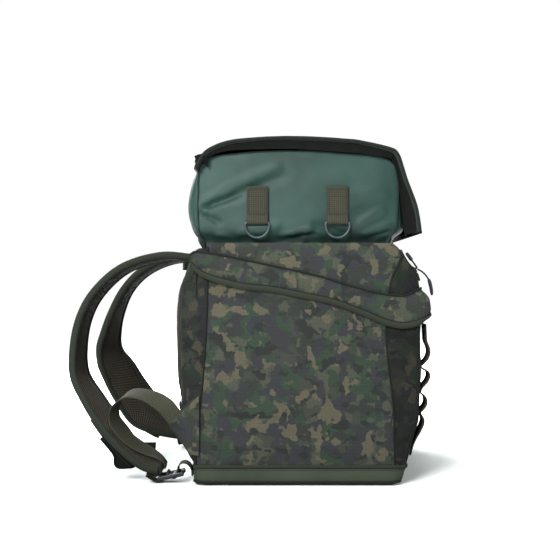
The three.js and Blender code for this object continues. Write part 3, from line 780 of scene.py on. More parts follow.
def make_floor():
    half, height = 6.0, 0.0
    mesh = bpy.data.meshes.new("floor")
    corners = [(-half, -half, height), (half, -half, height), (half, half, height), (-half, half, height)]
    mesh.from_pydata(corners, [], [(0, 1, 2, 3)])
    look = Look("floor_paper_painted_shade", 0.9)
    # Painted shade: the floor is darker round the bag, standing in for its soft shadow, and near white far
    # out so the distant floor stays white.
    far = look.step(look.vector_math("LENGTH", look.place)["Value"], 0.3, 1.1)
    look.base(look.mix(far, (0.37, 0.395, 0.39, 1), (0.99, 0.99, 0.99, 1)))
    mesh.materials.append(look.material)
    floor = bpy.data.objects.new("floor", mesh)
    bpy.context.scene.collection.objects.link(floor)


make_camera()
make_studio()
make_floor()


# ------------------------------------------------------------------ bag outlines

# Seams of the camouflage bag, as (height, X) pairs.
BACK_SEAM = [(8, -146), (68, -145), (129, -138), (189, -133), (254, -130), (300, -129.5), (341, -129)]
FRONT_SEAM = [
    (8, 133), (60, 132.5), (117, 130.5), (165, 124.5), (200, 121.5), (235, 121.5), (269, 124.5),
    (296, 131), (315, 140), (325, 142), (333, 138), (341, 129),
]
BACK_FACE = [
    (8, -146), (28, -149), (40, -158.5), (61, -163), (117, -169.5), (180, -170.5), (250, -170.5),
    (285, -167), (304, -161), (319, -155), (333, -146),
]
FRONT_FACE = [
    (8, 144), (29, 149.5), (42, 153.5), (68, 161), (90, 167), (112, 169.2), (200, 170), (270, 169.5),
    (288, 167),
]
POCKET_SLOPE = [
    (129, 340.5), (136, 336.5), (141.5, 330.5), (145.5, 322.5), (150, 315), (158, 304.5), (165.3, 294.5),
    (168, 287),
]
SEAM_INSET = 2.2                 # how far the cloth turns in at a seam
PIPING_RADIUS = 1.2
CLOTH = 2.2


BAG_FOOT = 8                     # the height at which the bag's walls start, inside the boot
SIDE_WIDTH = 273                 # a side panel's run between its seams
SLOPE_SEAM_X = 141               # where the pocket's slope meets its gusset's seam
BACK_TOP = 333
BACK_FLAT_HALF = 146             # half the width of the back between its rounded corners
POCKET_CORNER = 8


def side_face(x_fraction, z_fraction):
    """The side panel's distance from the bag's middle: crowned, and turned in at its edges."""
    across = np.sin(np.pi * np.clip(x_fraction, 0, 1)) ** 0.5
    up = np.sin(np.pi * np.clip(0.04 + 0.93 * z_fraction, 0, 1)) ** 0.45
    return HALF_WIDTH - SEAM_INSET + 4.6 * across * up


def side_panel(sign):
    columns, rows = 72, 84
    z = np.linspace(BAG_FOOT, MOUTH_Z, rows)
    u = np.linspace(0, 1, columns)
    back, front = smooth_value(BACK_SEAM, z), smooth_value(FRONT_SEAM, z)
    x = back[None, :] + (front - back)[None, :] * u[:, None]
    away = side_face(u[:, None], ((z - BAG_FOOT) / (MOUTH_Z - BAG_FOOT))[None, :])
    grid = xyz(x, sign * away, z)
    outward = np.array([0, sign, 0])
    lift = 1.5 * ripple(grid, 70, 1 + sign)
    lift += 0.55 * ripple(grid, 17, 4 + sign, 1)
    for start, end, width, height in SIDE_FOLDS:
        line = [np.array([px, sign * HALF_WIDTH, pz]) for px, pz in (start, end)]
        lift += fold_height(grid, *line, width, height)
    lift *= np.clip((MOUTH_Z - z) / 40, 0.15, 1)
    edge = np.minimum(u, 1 - u)[:, None] * SIDE_WIDTH
    pucker = np.exp(-edge / 9) * ripple(grid, 11, 6, 1) * 0.8
    grid = grid + outward * ((lift + pucker) * np.clip(edge / 6, 0.15, 1))[..., None]
    turned_in = np.clip((z - (MOUTH_Z - 5)) / 5, 0, 1)[:, None]
    grid = grid - outward * turned_in**2 * 1.4
    return cloth(grid, CLOTH, outward=-sign)


# Soft pulls in the side panel's cloth: start and end as (X, Z), width, height.
SIDE_FOLDS = [
    ((-140, 106), (-20, 98), 5, 1.6),
    ((-140, 100), (10, 92), 4, -1.4),
    ((-120, 60), (60, 52), 8, 1.2),
    ((60, 330), (118, 318), 7, 1.5),
    ((-120, 334), (-70, 327), 6, 1.6),
    ((118, 250), (70, 200), 8, 1.2),
    ((124, 140), (80, 160), 7, 1.1),
    ((-128, 215), (-85, 250), 8, 1.3),
]


def back_shell():
    """The camouflage cloth over the padded back, from one back seam round to the other."""
    z = np.linspace(BAG_FOOT, BACK_TOP, 70)
    seam, face = smooth_value(BACK_SEAM, z), smooth_value(BACK_FACE, z)
    corner_width = HALF_WIDTH - SEAM_INSET - BACK_FLAT_HALF

    def corner_column(angle, sign):
        away = BACK_FLAT_HALF + corner_width * math.cos(angle)
        return xyz(seam + (face - seam) * math.sin(angle), sign * away, z)

    corner = np.linspace(0, math.pi / 2, 14)
    columns = [corner_column(a, -1) for a in corner]
    columns += [xyz(face, y, z) for y in np.linspace(-BACK_FLAT_HALF, BACK_FLAT_HALF, 40)[1:-1]]
    columns += [corner_column(a, 1) for a in corner[::-1]]
    grid = rumpled(np.array(columns), (1.1, 55, 11), (0.5, 18, 12))
    return cloth(grid, CLOTH, outward=facing(grid, (-1, 0, 0)))


def pocket_shell():
    """The pocket's side gussets and front face, as one wrap from front seam to front seam."""
    share = np.linspace(0, 1, 72)
    half = HALF_WIDTH - 1.5
    stations = [("gusset", f) for f in np.linspace(0, 1, 9)]
    stations += [("corner", a) for a in np.linspace(0, math.pi / 2, 7)[1:]]
    stations += [("face", y) for y in np.linspace(-half + POCKET_CORNER, 0, 24)[1:]]
    columns = []
    for kind, value in stations:
        top = pocket_column_top(kind, value)
        z = BAG_FOOT + (top - BAG_FOOT) * share
        face, seam = smooth_value(FRONT_FACE, z), smooth_value(FRONT_SEAM, z)
        bulge = 3.5 * np.sin(math.pi * share) ** 0.5
        if kind == "gusset":
            x = seam + (face - POCKET_CORNER - seam) * value
            y = -half - 1.4 * math.sin(math.pi * value)
        elif kind == "corner":
            x = face - POCKET_CORNER + POCKET_CORNER * math.sin(value)
            y = -half + POCKET_CORNER - POCKET_CORNER * math.cos(value)
        else:
            x = face + bulge * (1 - (value / (half - POCKET_CORNER)) ** 2)
            y = value
        columns.append(xyz(x, y, z))
    grid = rumpled(with_far_half(np.array(columns)), (1.2, 48, 21), (0.5, 15, 22))
    return cloth(grid, CLOTH, outward=facing(grid, (1, 0, 0)))


def pocket_column_top(kind, value):
    """The height at which one column of the pocket wrap meets the slope."""
    slope_x, slope_z = zip(*POCKET_SLOPE)
    if kind == "gusset":
        x = SLOPE_SEAM_X + (slope_x[-1] - POCKET_CORNER - SLOPE_SEAM_X) * value
        return float(np.interp(x, slope_x, slope_z))
    if kind == "corner":
        return float(np.interp(slope_x[-1] - POCKET_CORNER * (1 - math.sin(value)), slope_x, slope_z))
    return slope_z[-1]


def pocket_slope():
    path = smooth_path(POCKET_SLOPE, 26)
    widths = np.linspace(-1, 1, 70) * (HALF_WIDTH - 1.5)
    grid = np.array([xz_path(path, y) for y in widths])
    outward = facing(grid, (1, 0, 0))
    turned = np.clip((np.abs(grid[..., 1]) - (HALF_WIDTH - 7)) / 6, 0, 1) ** 2 * 2.5
    lift = 1.1 * ripple(grid, 40, 31) + 0.5 * ripple(grid, 14, 32, 1) - turned
    grid = grid + grid_normals(grid) * outward * lift[..., None]
    return cloth(grid, CLOTH, outward=outward)


def seam_cord(pairs, y, z_low, z_high, push=0.0):
    """A piped seam that follows (height, X) pairs on one side of the bag."""
    z = np.linspace(z_low, z_high, 90)
    x = smooth_value(pairs, z) + push
    path = xyz(x, y, z)
    path[:, 0] += 0.35 * ripple(path, 14, 2, 1)
    path[:, 1] += 0.35 * ripple(path, 17, 3, 1)
    return tube(path, PIPING_RADIUS, 8, (0, 1, 0))


def make_bag():
    for side, sign in SIDES:
        build(f"{side}_side_cloth", [side_panel(sign)], CAMO, "pack", [f"{side}_side_panel"])
    build("back_cloth", [back_shell()], BACK_CAMO_PAINTED_SHADE, "pack", ["back_pad"])
    build("pocket_cloth", [pocket_shell()], POCKET_CAMO_PAINTED_SHADE, "pack",
          ["pocket_front", "pocket_left_gusset", "pocket_right_gusset"])
    build("pocket_top_cloth", [pocket_slope()], POCKET_CAMO_PAINTED_SHADE, "pack", ["pocket_top"])
    cords = []
    for _, sign in SIDES:
        y = sign * (HALF_WIDTH - SEAM_INSET + 1.0)
        cords.append(seam_cord(BACK_SEAM, y, BOOT_TOP - 3, 334))
        cords.append(seam_cord(FRONT_SEAM, y, BOOT_TOP - 3, 322))
        corner = [(z, x - 6) for z, x in FRONT_FACE]
        cords.append(seam_cord(corner, sign * (HALF_WIDTH - 1.2), BOOT_TOP, 286))
        slope = xz_path(smooth_path(POCKET_SLOPE[2:], 30), sign * (HALF_WIDTH - 2.6))
        cords.append(tube(slope, PIPING_RADIUS, 8, (0, 1, 0)))
    build("seam_piping", cords, PIPING, "pack", ())


# ------------------------------------------------------------------ base boot

BOOT_CORNER = 16
BOOT_PROFILE = [           # height, inset of the sides, back X, front X
    (0.0, 8.0, -141, 131), (1.0, 4.5, -144.5, 135.5), (3.0, 2.0, -147, 139.5), (6.0, 0.7, -148.6, 142.5),
    (10.0, 0.0, -149.6, 144.8), (16.0, -0.2, -150, 147), (22.0, -0.2, -149.8, 149), (27.0, 0.0, -149, 150),
]


def rounded_plan(back, front, half, radius, per_corner=8, along=26, across=30):
    """A closed loop in plan, clockwise from the back left corner, as XY points."""
    def arc(cx, cy, start):
        angles = np.linspace(start, start - math.pi / 2, per_corner)
        return [(cx + radius * math.cos(a), cy + radius * math.sin(a)) for a in angles]

    def line(start, end, count):
        return [tuple(p) for p in np.linspace(start, end, count + 2)[1:-1]]

    points = arc(back + radius, half - radius, math.pi)
    points += line((back + radius, half), (front - radius, half), along)
    points += arc(front - radius, half - radius, math.pi / 2)
    points += line((front, half - radius), (front, -half + radius), across)
    points += arc(front - radius, -half + radius, 0)
    points += line((front - radius, -half), (back + radius, -half), along)
    points += arc(back + radius, -half + radius, -math.pi / 2)
    points += line((back, -half + radius), (back, half - radius), across)
    return np.array(points)


def boot_ring(z, inset, back, front):
    half = BOOT_HALF_WIDTH - inset
    plan = rounded_plan(back, front, half, BOOT_CORNER)
    return np.concatenate([plan, np.full((len(plan), 1), z)], axis=1)


def base_boot():
    rings = np.array([boot_ring(*row) for row in BOOT_PROFILE])
    centre = rings[0].mean(axis=0)
    floor_rings = [centre + (rings[0] - centre) * share for share in (0.05, 0.5, 0.9)]
    wall = np.concatenate([np.array(floor_rings), rings])
    wall[3:, :, 2] += 0.3 * ripple(wall[3:], 30, 41, 1)
    wall[:3, :, 2] = 0.0
    lip = boot_ring(BOOT_TOP, 2.6, -146.5, 147)
    inner = boot_ring(8, 2.8, -146, 141)
    inner_floor = centre + (boot_ring(3.2, 9, -140, 130) - centre) * 0.98
    inner_floor[:, 2] = 2.2
    middle = inner_floor.mean(axis=0) + (inner_floor - inner_floor.mean(axis=0)) * 0.05
    return skin(np.concatenate([wall, [lip, inner, inner_floor, middle]]))


def make_base():
    build("boot_cloth", [base_boot()], BOOT, "pack", ["base_boot"])
    top = boot_ring(BOOT_TOP - 1.2, -0.9, -150.3, 151.2)
    binding = tube(top, 2.5, 10, (0, 0, 1), 1.0, closed=True)
    flatten_edge(binding, top, outward_in_plan(top), 0.42)
    build("boot_binding", [binding], BINDING, "pack", ())
    low = boot_ring(5.2, 0.0, -149.3, 142.4)
    build("boot_piping", [tube(low, 1.5, 8, (0, 0, 1), 1.0, closed=True)], PIPING, "pack", ())
    seam = boot_ring(BOOT_TOP - 5.5, -0.35, -150.2, 149.6)
    build("boot_stitching", stitches(seam, outward_in_plan(seam)), THREAD, "pack", ())


def outward_in_plan(loop):
    along = tangents(loop, closed=True)
    normal = np.cross(along, np.array([0, 0, 1.0]))
    if np.dot(normal[0], loop[0] - loop.mean(axis=0)) < 0:
        normal = -normal
    return normal


# ------------------------------------------------------------------ yoke band round the bag

YOKE_LOWER = [
    (-154, 307), (-143, 296), (-128, 288), (-106, 281), (-80, 275), (-43, 271), (0, 263), (50, 252),
    (90, 237), (125, 223), (144, 220), (168, 225), (186, 232),
]
YOKE_UPPER = [
    (-154, 323), (-147, 327.5), (-134, 326), (-102, 321), (-60, 312), (-13, 302), (31, 292), (66, 281),
    (107, 270), (125, 267), (150, 267), (168, 276), (186, 276),
]
YOKE_BINDING = 8
YOKE_CORNER = 15
YOKE_FRONT = [(226, 173), (230.5, 177), (236, 183.5), (243, 185.5), (256, 184), (267, 179.5), (277, 168)]


def yoke_plan(count):
    """The band's run in plan, from the left back corner round the front to the right."""
    front = YOKE_FRONT_X - 0.5
    half = HALF_WIDTH + 6.2
    side = [(x, -half) for x in np.linspace(-154, front - YOKE_CORNER, 30)]
    arc = [(front - YOKE_CORNER + YOKE_CORNER * math.sin(a), -half + YOKE_CORNER - YOKE_CORNER * math.cos(a))
           for a in np.linspace(0, math.pi / 2, 9)[1:]]
    face = [(front, y) for y in np.linspace(-half + YOKE_CORNER, 0, 14)[1:]]
    return evenly_spaced(with_far_half(np.array(side + arc + face)), count)


def yoke_edges():
    """The band's plan, its outward directions, and the heights of its lower and upper edges."""
    plan = yoke_plan(190)
    low, high = smooth_value(YOKE_LOWER, plan[:, 0]), smooth_value(YOKE_UPPER, plan[:, 0])
    front_end = np.clip((YOKE_HALF_WIDTH - np.abs(plan[:, 1])) / 30, 0, 1)
    along = unit(np.gradient(plan, axis=0))
    outward = np.stack([along[:, 1], -along[:, 0], np.zeros(len(plan))], axis=1)
    return plan, outward, low + front_end * 3, high - front_end * 2


def yoke_lean(facing_front, z):
    """How far the band's front end leans back from its furthest point, by height."""
    return np.clip(facing_front, 0, 1) * (smooth_value(YOKE_FRONT, z) - YOKE_FRONT_X + 0.5)


def yoke_surface(bottom, top, rows, puff, stand_off=0.0):
    """A strip of the yoke between two heights above its lower edge, puffed out between them.

    The strip reaches the upper edge where top is None.
    """
    plan, outward, low, high = yoke_edges()
    share = np.linspace(0, 1, rows)
    foot = (low + bottom)[:, None]
    head = (high if top is None else low + top)[:, None]
    z = foot + (head - foot) * share
    x = plan[:, :1] + yoke_lean(outward[:, :1], z)
    rise = puff * np.sin(math.pi * share) ** 0.5 - puff + stand_off
    return xyz(x, plan[:, 1:], z) + outward[:, None] * rise[:, None]


def yoke_cloth():
    grid = yoke_surface(YOKE_BINDING, None, 16, 2.6)
    sign = facing(grid, grid - BAG_MIDDLE)
    return cloth(rumpled(grid, (0.9, 34, 51), (0.45, 12, 52), sign), 4.2, outward=sign)


def yoke_binding():
    grid = yoke_surface(0.0, YOKE_BINDING + 0.6, 6, 1.3, 0.5)
    return cloth(grid, 4.4, outward=facing(grid, grid - BAG_MIDDLE))


def yoke_edge_path(share, rise):
    plan, outward, low, high = yoke_edges()
    z = low + (high - low) * share + rise
    return xyz(plan[:, 0] + yoke_lean(outward[:, 0], z), plan[:, 1], z), outward


def make_yoke():
    band = build("yoke_cloth", [yoke_cloth()], CAMO, "pack",
                 ["left_yoke_wing", "right_yoke_wing", "front_yoke_band"])
    build("yoke_binding", [yoke_binding()], BINDING, "pack",
          ["left_yoke_binding", "right_yoke_binding"])
    upper, outward = yoke_edge_path(1.0, 0.3)
    lower, _ = yoke_edge_path(0.0, YOKE_BINDING + 0.4)
    cords = [tube(upper - outward * 1.6, 1.5, 8), tube(lower - outward * 1.3, 1.0, 6)]
    build("yoke_piping", cords, PIPING, "pack", ())
    row = lower + np.array([0, 0, -STITCH_INSET])
    thread = stitches(row, outward)
    build("yoke_stitching", thread, THREAD, "pack", ())


# ------------------------------------------------------------------ weather collar

COLLAR_TOP = [
    (-160, 446), (-143, 453), (-130, 460), (-90, 466), (-42, 470), (-12, 470.5), (30, 469.5), (67, 466.6),
    (105, 463.5), (119.5, 460.5), (130, 454.5), (136, 447), (139, 439), (150, 430),
]
COLLAR_FOOT = 318
COLLAR_BACK_SEAM = [(318, -134), (338, -136), (350, -141.5), (372, -143.5), (420, -143.5), (470, -142)]
COLLAR_FRONT_SEAM = [(318, 119), (334, 120), (344, 123), (357, 134), (383, 138), (420, 139), (470, 137)]
COLLAR_BACK_BULGE = [(318, 2), (338, 4), (360, 11), (395, 16.5), (425, 12), (450, 5), (470, 3)]
COLLAR_FRONT_BULGE = [(318, 8), (338, 15), (357, 14.5), (383, 10), (425, 5), (450, 3), (470, 2)]
COLLAR_SEAM_Y = 166.5
COLLAR_END_FLAT = 132
COLLAR_TUCK = 7.0                 # how far the sides are gathered in at the bag's mouth

# Creases in the collar's side: start and end as (X, Z), width, height.
COLLAR_FOLDS = [
    ((-142, 396), (-96, 420), 4.0, 4.4),
    ((-138, 389), (-86, 409), 4.6, -5.0),
    ((-110, 413), (-30, 447), 7.0, 3.4),
    ((-96, 408), (-20, 436), 9.0, -3.0),
    ((-143, 391), (-122, 379), 3.2, 4.0),
    ((-140, 385), (-112, 368), 3.8, -4.0),
    ((-120, 352), (-92, 345), 3.2, 4.2),
    ((-88, 352), (-30, 366), 6.0, 3.4),
    ((-30, 349), (16, 360), 4.0, 4.0),
    ((-24, 343), (22, 352), 4.0, -4.0),
    ((20, 366), (70, 352), 5.0, -3.2),
    ((84, 366), (118, 386), 6.0, 3.4),
    ((90, 352), (126, 366), 3.6, 4.6),
    ((96, 345), (128, 356), 3.4, -4.4),
    ((54, 395), (120, 412), 14.0, 2.4),
]


def collar_station(kind, value, z):
    """Plan place of one collar column at heights z: along a side, round a corner, or across an end."""
    back, front = smooth_value(COLLAR_BACK_SEAM, z), smooth_value(COLLAR_FRONT_SEAM, z)
    if kind == "side":
        crown = 3.2 * math.sin(math.pi * value) ** 0.5
        tuck = COLLAR_TUCK * np.exp(-((z - MOUTH_Z) / 11) ** 2)
        return back + (front - back) * value, COLLAR_SEAM_Y + crown - tuck
    bulge = smooth_value(COLLAR_FRONT_BULGE if kind.startswith("front") else COLLAR_BACK_BULGE, z)
    seam = front if kind.startswith("front") else back
    direction = 1 if kind.startswith("front") else -1
    if kind.endswith("corner"):
        x = seam + direction * bulge * math.sin(value)
        return x, COLLAR_END_FLAT + (COLLAR_SEAM_Y - COLLAR_END_FLAT) * math.cos(value)
    return seam + direction * bulge, value


def collar_stations():
    corner = np.linspace(0, math.pi / 2, 8)[1:]
    near = [("side", f) for f in np.linspace(0, 1, 84)]
    near += [("front_corner", a) for a in corner]
    near += [("front_face", y) for y in np.linspace(COLLAR_END_FLAT, 0, 18)[1:]]
    back = [("back_face", y) for y in np.linspace(0, COLLAR_END_FLAT, 18)[1:-1]]
    back += [("back_corner", a) for a in corner[::-1]]
    return back, near


def collar_top_z(x):
    return smooth_value(COLLAR_TOP, x)


def collar_grid():
    share = np.linspace(0, 1, 54)
    back, near = collar_stations()
    columns = []
    for kind, value in back + near:
        x_rest, _ = collar_station(kind, value, np.array([440.0]))
        top = float(collar_top_z(x_rest)[0]) - 1.0
        z = COLLAR_FOOT + (top - COLLAR_FOOT) * share
        x, y = collar_station(kind, value, z)
        columns.append(xyz(x, -y, z))
    return with_far_half(np.array(columns))


def collar_creased(grid):
    sign = facing(grid, grid - BAG_MIDDLE)
    lift = 1.1 * ripple(grid, 62, 61) + 0.4 * ripple(grid, 20, 62, 1)
    for start, end, width, height in COLLAR_FOLDS:
        for _, side in SIDES:
            line = [np.array([px, side * 168.0, pz]) for px, pz in (start, end)]
            lift += fold_height(grid, *line, width, height)
    z = grid[..., 2]
    gathered = np.exp(-((z - 343) / 11) ** 2)
    lift += gathered * (3.2 * ripple(grid * np.array([1, 1, 0.25]), 24, 64, 2) - 2.6)
    top_fade = np.clip((collar_top_z(grid[..., 0]) - z) / 10, 0.12, 1)
    lift = np.minimum(lift * top_fade, 1.4 + 2.5 * (np.abs(grid[..., 1]) < 150))
    return grid + grid_normals(grid, wrap=True) * sign * lift[..., None], sign


def make_collar():
    grid, sign = collar_creased(collar_grid())
    walls = ["collar_left_side", "collar_right_side", "collar_front", "collar_back"]
    tube_of_cloth = cloth(grid, 1.6, outward=sign, wrap=True)
    shell = build("collar_cloth", [tube_of_cloth], GREEN, None, walls)
    cords = []
    for _, side in SIDES:
        for pairs in (COLLAR_BACK_SEAM, COLLAR_FRONT_SEAM):
            top = 450 if pairs is COLLAR_BACK_SEAM else 443
            cords.append(seam_cord(pairs, side * (COLLAR_SEAM_Y + 0.6), COLLAR_FOOT + 4, top))
        x = np.concatenate([np.linspace(-141, 118, 70), np.linspace(120, 137.5, 22)])
        away = COLLAR_SEAM_Y + 0.6 + 2.9 * np.sin(np.pi * (x + 141) / 279) ** 0.5
        rim = xyz(x, side * away, collar_top_z(x) - 0.5)
        cords.append(tube(rim, 1.2, 8, (0, 1, 0)))
    piping = build("collar_piping", cords, GREEN_PIPING, None, ())
    for piece in (shell, piping):
        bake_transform(piece)


# ------------------------------------------------------------------ D-rings and their tabs


def ring_tab(side, sign, place):
    low, high = node_box(f"{side}_{place}_ring_tab")
    middle = (low[0] + high[0]) / 2
    _, away, pivot_z = np.abs(joint_place(f"{side}_{place}_ring_swing"))
    back_layer, radius = 172.0, 2.6
    route = [(back_layer, z) for z in (high[2] + 1, high[2] - 20, pivot_z + 8, pivot_z + 3)]
    route += [(away + radius * math.cos(a), pivot_z + radius * math.sin(a))
              for a in np.radians([180, 210, 240, 270, 300, 330, 360])]
    route += [(away + radius - 0.6, pivot_z + 3.4), (174.0, pivot_z + 8.5), (173.6, pivot_z + 14),
              (173.8, high[2] - 18), (173.6, high[2] + 0.6)]
    path = smooth_path([(middle, sign * y, z) for y, z in route], 60)
    half = (high[0] - low[0]) / 2
    face = sign * 174.5
    thread = []
    for z in (high[2] - 3, high[2] - 13, pivot_z + 12):
        row = [(middle - half + 2, face, z), (middle, face + sign * 0.1, z), (middle + half - 2, face, z)]
        thread += stitches(row, (0, sign, 0), 2.4)
    for x in (middle - half + 2.5, middle + half - 2.5):
        row = [(x, face, z) for z in (high[2] - 3, pivot_z + 30, pivot_z + 12)]
        thread += stitches(row, (0, sign, 0), 2.8)
    return tape(path, (1, 0, 0), 2 * half, 1.5), thread


def d_ring(side, place):
    pivot = joint_place(f"{side}_{place}_ring_swing")
    low, high = node_box(f"{side}_{place}_d_ring")
    wire = 1.7
    half = (high[0] - low[0]) / 2 - wire
    drop = pivot[2] - low[2] - wire
    corner = 3.0
    points = [(-half + corner, 0), (0, 0), (half - corner, 0)]
    points += [(half - corner + corner * math.sin(a), -corner + corner * math.cos(a))
               for a in np.linspace(0, math.pi / 2, 6)[1:]]
    bow = np.linspace(0, math.pi, 26)[1:-1]
    points += [(half * math.cos(a), -corner - (drop - corner) * math.sin(a)) for a in bow]
    points += [(-half + corner - corner * math.sin(a), -corner + corner * math.cos(a))
               for a in np.linspace(math.pi / 2, 0, 6)[:-1]]
    path = np.array([(pivot[0] + x, pivot[1], pivot[2] + z) for x, z in points])
    return tube(path, wire, 12, (0, 1, 0), closed=True)


def make_rings():
    thread = []
    for side, sign in SIDES:
        for place in ("rear", "front"):
            tab, rows = ring_tab(side, sign, place)
            build(f"{side}_{place}_tab_webbing", [tab], WEBBING, "collar_foot",
                  [f"{side}_{place}_ring_tab"])
            thread += rows
            build(f"{side}_{place}_ring_wire", [d_ring(side, place)], METAL, f"{side}_{place}_ring",
                  [f"{side}_{place}_d_ring"])
    build("tab_stitching", thread, THREAD, "collar_foot", ())


# ------------------------------------------------------------------ lid and flap

LID_TOP_LINE = [
    (-149, 444), (-147, 451), (-142, 459), (-133, 470), (-114, 480), (-95, 485), (-67, 488), (-20, 490),
    (30, 488.8), (84, 484), (116, 477.5), (129, 473.8),
]
FLAP_LINE = [
    (134.8, 471), (140.5, 463), (146.5, 445), (151.5, 429), (158, 412), (164.5, 394), (169, 372), (171, 356),
]
LID_LINE = LID_TOP_LINE + FLAP_LINE
LID_RIM = 2.2
LID_CROWN = 2.6
SKIRT_Y = 178.2
SKIRT_DEPTH = [(-150, 7), (-140, 10), (-125, 12), (-60, 17), (-12, 18), (67, 19), (119, 16), (135, 15)]
FLAP_SKIRT_EDGE = [(129, 458), (134, 446), (139, 422), (143, 386), (147, 351)]


def lid_cover():
    path = smooth_path(LID_LINE, 120)
    across = np.linspace(-1, 1, 72)
    inward = inset_path(path, 1.0) - path
    columns = []
    for w in across:
        edge = np.clip((abs(w) - 0.97) / 0.03, 0, 1) ** 2 * 2.0
        crown = LID_CROWN * (1 - w**2)
        offset = edge - crown * np.sin(np.linspace(0, math.pi, len(path))) ** 0.7
        column = xz_path(path + inward * offset[:, None], w * LID_HALF_WIDTH)
        columns.append(column)
    grid = np.array(columns)
    sign = facing(grid, (0, 0, 1))
    return cloth(rumpled(grid, (1.2, 60, 71), (0.5, 18, 72), sign), 4.6, outward=sign)


def lid_rims():
    path = smooth_path(LID_LINE, 130)
    rims = []
    for _, sign in SIDES:
        edge = xz_path(inset_path(path, 2.6), sign * (LID_HALF_WIDTH + 0.2))
        edge[:, 1] += 0.4 * ripple(edge, 20, 74, 1)
        rims.append(tube(edge, LID_RIM, 10, (0, 1, 0), 0.6))
    end = smooth_path([(169, y, 355) for y in np.linspace(-LID_HALF_WIDTH, LID_HALF_WIDTH, 8)], 60)
    rims.append(tube(end, LID_RIM, 10, (1, 0, 0), 0.9))
    return rims


def skirt_grid(start, end, rows, sign):
    """A side skirt's sheet, from one XZ line to another."""
    return np.array([xz_path(start * (1 - r) + end * r, sign * SKIRT_Y) for r in rows]).transpose(1, 0, 2)


def lid_skirt(sign):
    """The black gusset under the lid's edge, gathered where it turns down at the back."""
    path = smooth_path(LID_TOP_LINE + FLAP_LINE[:1], 150)
    upper = inset_path(path, 4.6)
    inward = inset_path(path, 1.0) - path
    lower = path + inward * smooth_value(SKIRT_DEPTH, path[:, 0])[:, None]
    rows = np.linspace(0, 1, 9)
    grid = skirt_grid(upper, lower, rows, sign)
    gather = np.clip((-100 - path[:, 0]) / 50, 0, 1)
    pleat = np.sin(np.arange(len(path)) * 1.35) * 1.9 * gather + 0.6 * np.sin(np.arange(len(path)) * 0.42)
    grid[..., 1] += sign * (pleat[:, None] * np.sin(rows * math.pi * 0.5)[None, :] - 0.6)
    return cloth(grid, 1.4, outward=facing(grid, (0, sign, 0)))


CORNER_GATHERS = [(-146, 462), (-142.5, 463.5), (-139, 464), (-135.5, 463.5), (-132, 462)]


def corner_gathers(sign):
    """The skirt's cloth bunched into short folds at the lid's back corner."""
    folds = []
    for k, (x, z) in enumerate(CORNER_GATHERS):
        drop = 12 + 3 * math.sin(k * 2.1)
        away = sign * (SKIRT_Y - 0.4 + 0.8 * (k % 2))
        route = [(x, away - sign * 1.5, z), (x + 1.2, away, z - drop * 0.35),
                 (x + 0.2 * k, away, z - drop * 0.7), (x + 2.0, away - sign * 2.2, z - drop)]
        folds.append(tube(smooth_path(route, 16), np.linspace(2.4, 1.2, 16), 8, (1, 0, 0)))
    return folds


def flap_skirt(sign):
    flap = smooth_path(FLAP_LINE, 40)
    front = inset_path(flap, 5.2)
    back = smooth_path(FLAP_SKIRT_EDGE, 40)
    rows = np.linspace(0, 1, 10)
    grid = skirt_grid(front, back, rows, sign)
    grid[..., 1] += sign * (1.6 * ripple(grid, 18, 77) - 1.8 * np.sin(rows * math.pi)[None, :])
    return cloth(grid, 1.4, outward=facing(grid, (0, sign, 0)))


def hook_strip():
    """The rough strip at the flap's foot: a backing tape with rows of short hooks."""
    low, high = node_box("flap_hook_strip")
    x_top, x_low = high[0] - 3.2, high[0] - 1.4
    middle = ((x_top + x_low) / 2 + 0.3, 0, (low[2] + high[2]) / 2)
    path = smooth_path([(x_top, 0, high[2]), middle, (x_low, 0, low[2])], 8)
    backing = tape(path, (0, 1, 0), high[1] - low[1], 1.8)
    hooks = []
    for k, z in enumerate(np.linspace(low[2] + 3, high[2] - 3, 5)):
        x = x_low + (x_top - x_low) * (z - low[2]) / (high[2] - low[2]) - 1.2
        for y in np.arange(low[1] + 4 + 3 * (k % 2), high[1] - 4, 6):
            hooks.append(rounded_bar((x, y, z), (x - 1.1, y + 1.2, z), (0, 0, 1), 0.7, 0.5))
    return [backing] + hooks


def blend_lid(piece):
    """Bakes a lid piece's placement into its mesh."""
    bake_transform(piece)


def make_lid():
    cover = build("lid_cloth", [lid_cover()], LID, None, ["lid_top", "lid_flap"])
    blend_lid(cover)
    rims = build("lid_binding", lid_rims(), LID_RIM_CLOTH, None, ())
    blend_lid(rims)
    for side, sign in SIDES:
        sheets = {"lid": [lid_skirt(sign)] + corner_gathers(sign), "flap": [flap_skirt(sign)]}
        for body, parts in sheets.items():
            build(f"{body}_{side}_skirt", parts, LINING, body, [f"{body}_{side}_gusset"])
    build("flap_hooks", hook_strip(), LINING, "flap", ["flap_hook_strip"])


# ------------------------------------------------------------------ shoulder straps

# Each strap's middle line and its roll in degrees, as the frame has them.
STRAPS = {
    "left": (
        [(-154.8, -76, 321), (-203, -77, 323), (-261, -80, 304.5), (-300.5, -85, 268), (-318.5, -90, 233),
         (-325.5, -98, 190), (-321.5, -108, 150), (-300, -120, 114), (-273, -133, 79), (-246, -143, 49.5),
         (-230, -147.5, 35.5), (-213, -150.5, 26), (-198.5, -152, 22)],
        [0, 2, 3, 3, 3, 4, 6, 10, 12, 12, 13, 15, 12],
    ),
    "right": (
        [(-154.8, 76, 321), (-203, 77, 322), (-250, 79, 303), (-281, 83, 272), (-300, 88, 234),
         (-310, 93, 202), (-314.5, 98, 177), (-310.3, 102, 154), (-298, 108, 132), (-281, 115, 101),
         (-260, 122, 70), (-239, 129, 53), (-219, 137, 39), (-206, 142, 29)],
        [0, 3, 4, 4, 8, 14, 22, 32, 45, 52, 61, 52, 34, 14],
    ),
}
STRAP_WIDTH = 64
STRAP_END_WIDTH = 36
